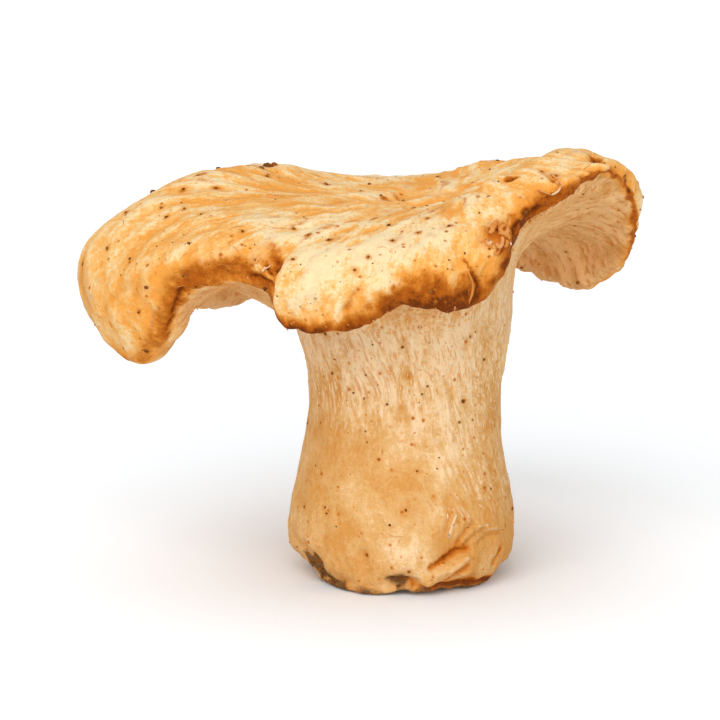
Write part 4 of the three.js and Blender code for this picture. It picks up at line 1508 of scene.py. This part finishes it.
class MUSHROOM_OT_soil(bpy.types.Operator):
    """Builds the soil crumbs that stick to the cap, the stem and, thickest, the foot"""
    bl_idname = "mushroom.soil"
    bl_label = "Soil"

    def execute(self, context):
        settings = context.scene.mushroom_soil
        skin = current_skin(context.scene)
        material = soil_material(context.scene.mushroom_colours)
        rng = np.random.default_rng(91)

        on_cap = CAP_CRUMBS * np.sqrt(rng.uniform(0.02, 1, settings.crumbs * 2 // 3))
        place = np.concatenate([on_cap, rng.uniform(*STEM_CRUMBS, settings.crumbs // 3)])
        bearing = rng.uniform(-180, 180, len(place))
        sizes = rng.uniform(0.4, 1.0, len(place)) ** 1.5
        radii = settings.size * sizes * rng.choice(CRUMB_SIZES, len(place))
        named_place, named_bearing = skin_places(skin, CRUMBS[:, :3])
        place = np.concatenate([place, named_place])
        bearing = np.concatenate([bearing, named_bearing])
        radii = np.concatenate([radii, NAMED_CRUMB_SHARE * CRUMBS[:, 3]])
        self.crumbs("soil_crumbs", skin, place, bearing, radii, material, 92)

        place, bearing = scatter_spans(rng, [(settings.foot_crumbs * FOOT_TRIES, *FOOT_CRUMBS)])
        soil = at_places(skin, skin.layers["soil"], place, bearing)
        soiled = np.flatnonzero(soil > rng.uniform(0.3, 1.2, len(place)))[:settings.foot_crumbs]
        radii = FOOT_CRUMB_SIZE * rng.uniform(0.25, 1.0, len(soiled)) ** 1.3
        self.crumbs("foot_soil", skin, place[soiled], bearing[soiled], radii, material, 93)
        return {"FINISHED"}

    def crumbs(self, name, skin, place, bearing, radii, material, seed):
        """Crumbs that sit on the skin, and on the ground where the skin is close to it."""
        centres, normals = on_skin(skin, place, bearing)
        centres += normals * (CRUMB_LIFT * radii)[:, None]
        centres[:, 2] = np.maximum(centres[:, 2], radii)
        points, faces, tone = crumb_mesh(centres, normals, radii, seed)
        points[:, 2] = np.maximum(points[:, 2], 0)
        write_mesh(name, points, faces, {"tone": tone}, material)


class MUSHROOM_OT_stage(bpy.types.Operator):
    """Builds the plain white floor, the soft lights and the camera"""
    bl_idname = "mushroom.stage"
    bl_label = "Stage"

    def execute(self, context):
        settings = context.scene.mushroom_stage
        self.floor(context.scene, settings)
        self.world(context.scene, settings)
        for name, (spread, position) in LAMPS.items():
            self.lamp(context.scene, name, getattr(settings, name), math.radians(spread), position)
        self.camera(context.scene, settings)
        context.scene.view_settings.view_transform = "Standard"
        return {"FINISHED"}

    def floor(self, scene, settings):
        """A wide flat sheet just under the foot. It glows a little, only where it is seen directly, so that
        it comes out white and still holds a shadow. The glow fades out near the foot, painting a darker ring
        of shade round it."""
        mesh = bpy.data.meshes.new("floor")
        signs = ((-1, -1), (1, -1), (1, 1), (-1, 1))
        corners = [(FLOOR_HALF * x, FLOOR_HALF * y, -FLOOR_DROP) for x, y in signs]
        mesh.from_pydata(corners, [], [(0, 1, 2, 3)])
        shader = new_material("floor_paper")
        away = shader.value("ShaderNodeVectorMath", {"operation": "LENGTH"}, {0: shader.here()}, "Value")
        glow = settings.glow * shader.ramp(away, *GLOW_FADE) * seen_directly(shader)
        paper = shader.blend(seen_directly(shader), LIT_PAPER, SEEN_PAPER)
        mesh.materials.append(shader.finish(Base_Color=paper, Roughness=1.0, Specular_IOR_Level=0.0,
                                            Emission_Color=glow, Emission_Strength=1.0))
        floor = bpy.data.objects.new("floor", mesh)
        scene.collection.objects.link(floor)

    def world(self, scene, settings):
        """Even light from all round, and plain white where the camera or a reflection sees it."""
        scene.world = bpy.data.worlds.new("studio")
        shader = Shader(scene.world)
        white = (1, 1, 1, 1)
        light = shader.node("ShaderNodeBackground", {}, {"Color": white, "Strength": settings.sky})
        backdrop = shader.node("ShaderNodeBackground", {}, {"Color": white, "Strength": 1.0})
        ways = {0: seen_directly(shader), 1: light.outputs[0], 2: backdrop.outputs[0]}
        mixed = shader.node("ShaderNodeMixShader", {}, ways)
        shader.feed(shader.tree.nodes["World Output"].inputs["Surface"], mixed.outputs[0])

    def lamp(self, scene, name, strength, spread, position):
        """A sun so wide that its shadows are soft, shining from a position towards the mushroom."""
        data = bpy.data.lights.new(name, "SUN")
        data.energy = strength
        data.angle = spread
        lamp = bpy.data.objects.new(name, data)
        lamp.location = position
        lamp.rotation_euler = Vector(position).to_track_quat("Z", "Y").to_euler()
        scene.collection.objects.link(lamp)

    def camera(self, scene, settings):
        """The camera looks along +Y and a little down, at the middle of the mushroom."""
        low, high = (np.array(corner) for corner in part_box(NODE))
        target = Vector((low + high) / 2)
        target.y = 0
        data = bpy.data.cameras.new("camera")
        data.lens = settings.lens
        camera = bpy.data.objects.new("camera", data)
        back = Vector((0, -math.cos(settings.elevation), math.sin(settings.elevation)))
        camera.location = target + back * settings.distance
        camera.rotation_euler = (-back).to_track_quat("-Z", "Y").to_euler()
        scene.collection.objects.link(camera)
        scene.camera = camera


def seen_directly(shader):
    """1 for rays from the camera, through glass or off a reflection, and 0 for light that falls on it."""
    path = shader.node("ShaderNodeLightPath", {}, {})
    kinds = ("Is Camera Ray", "Is Glossy Ray", "Is Transmission Ray")
    return sum((Value(shader, path.outputs[kind]) for kind in kinds), 0)


class MUSHROOM_PT_panel(bpy.types.Panel):
    """Lists what builds the mushroom"""
    bl_label = "Hedgehog mushroom"
    bl_space_type = "VIEW_3D"
    bl_region_type = "UI"
    bl_category = "Mushroom"

    def draw(self, context):
        for operator in OPERATORS:
            self.layout.operator(operator.bl_idname)


GROUPS = {
    "mushroom_colours": MushroomColours,
    "mushroom_skin": SkinSettings,
    "mushroom_spines": SpineSettings,
    "mushroom_soil": SoilSettings,
    "mushroom_stage": StageSettings,
}
OPERATORS = (MUSHROOM_OT_stage, MUSHROOM_OT_skin, MUSHROOM_OT_spines, MUSHROOM_OT_threads, MUSHROOM_OT_soil)
CLASSES = (*GROUPS.values(), *OPERATORS, MUSHROOM_PT_panel)


def register():
    for cls in CLASSES:
        bpy.utils.register_class(cls)
    for name, group in GROUPS.items():
        setattr(bpy.types.Scene, name, PointerProperty(type=group))


def unregister():
    for name in GROUPS:
        delattr(bpy.types.Scene, name)
    for cls in reversed(CLASSES):
        bpy.utils.unregister_class(cls)


def main():
    register()
    bpy.ops.mushroom.stage()
    bpy.ops.mushroom.skin()
    bpy.ops.mushroom.spines()
    bpy.ops.mushroom.threads()
    bpy.ops.mushroom.soil()


if __name__ == "__main__":
    main()
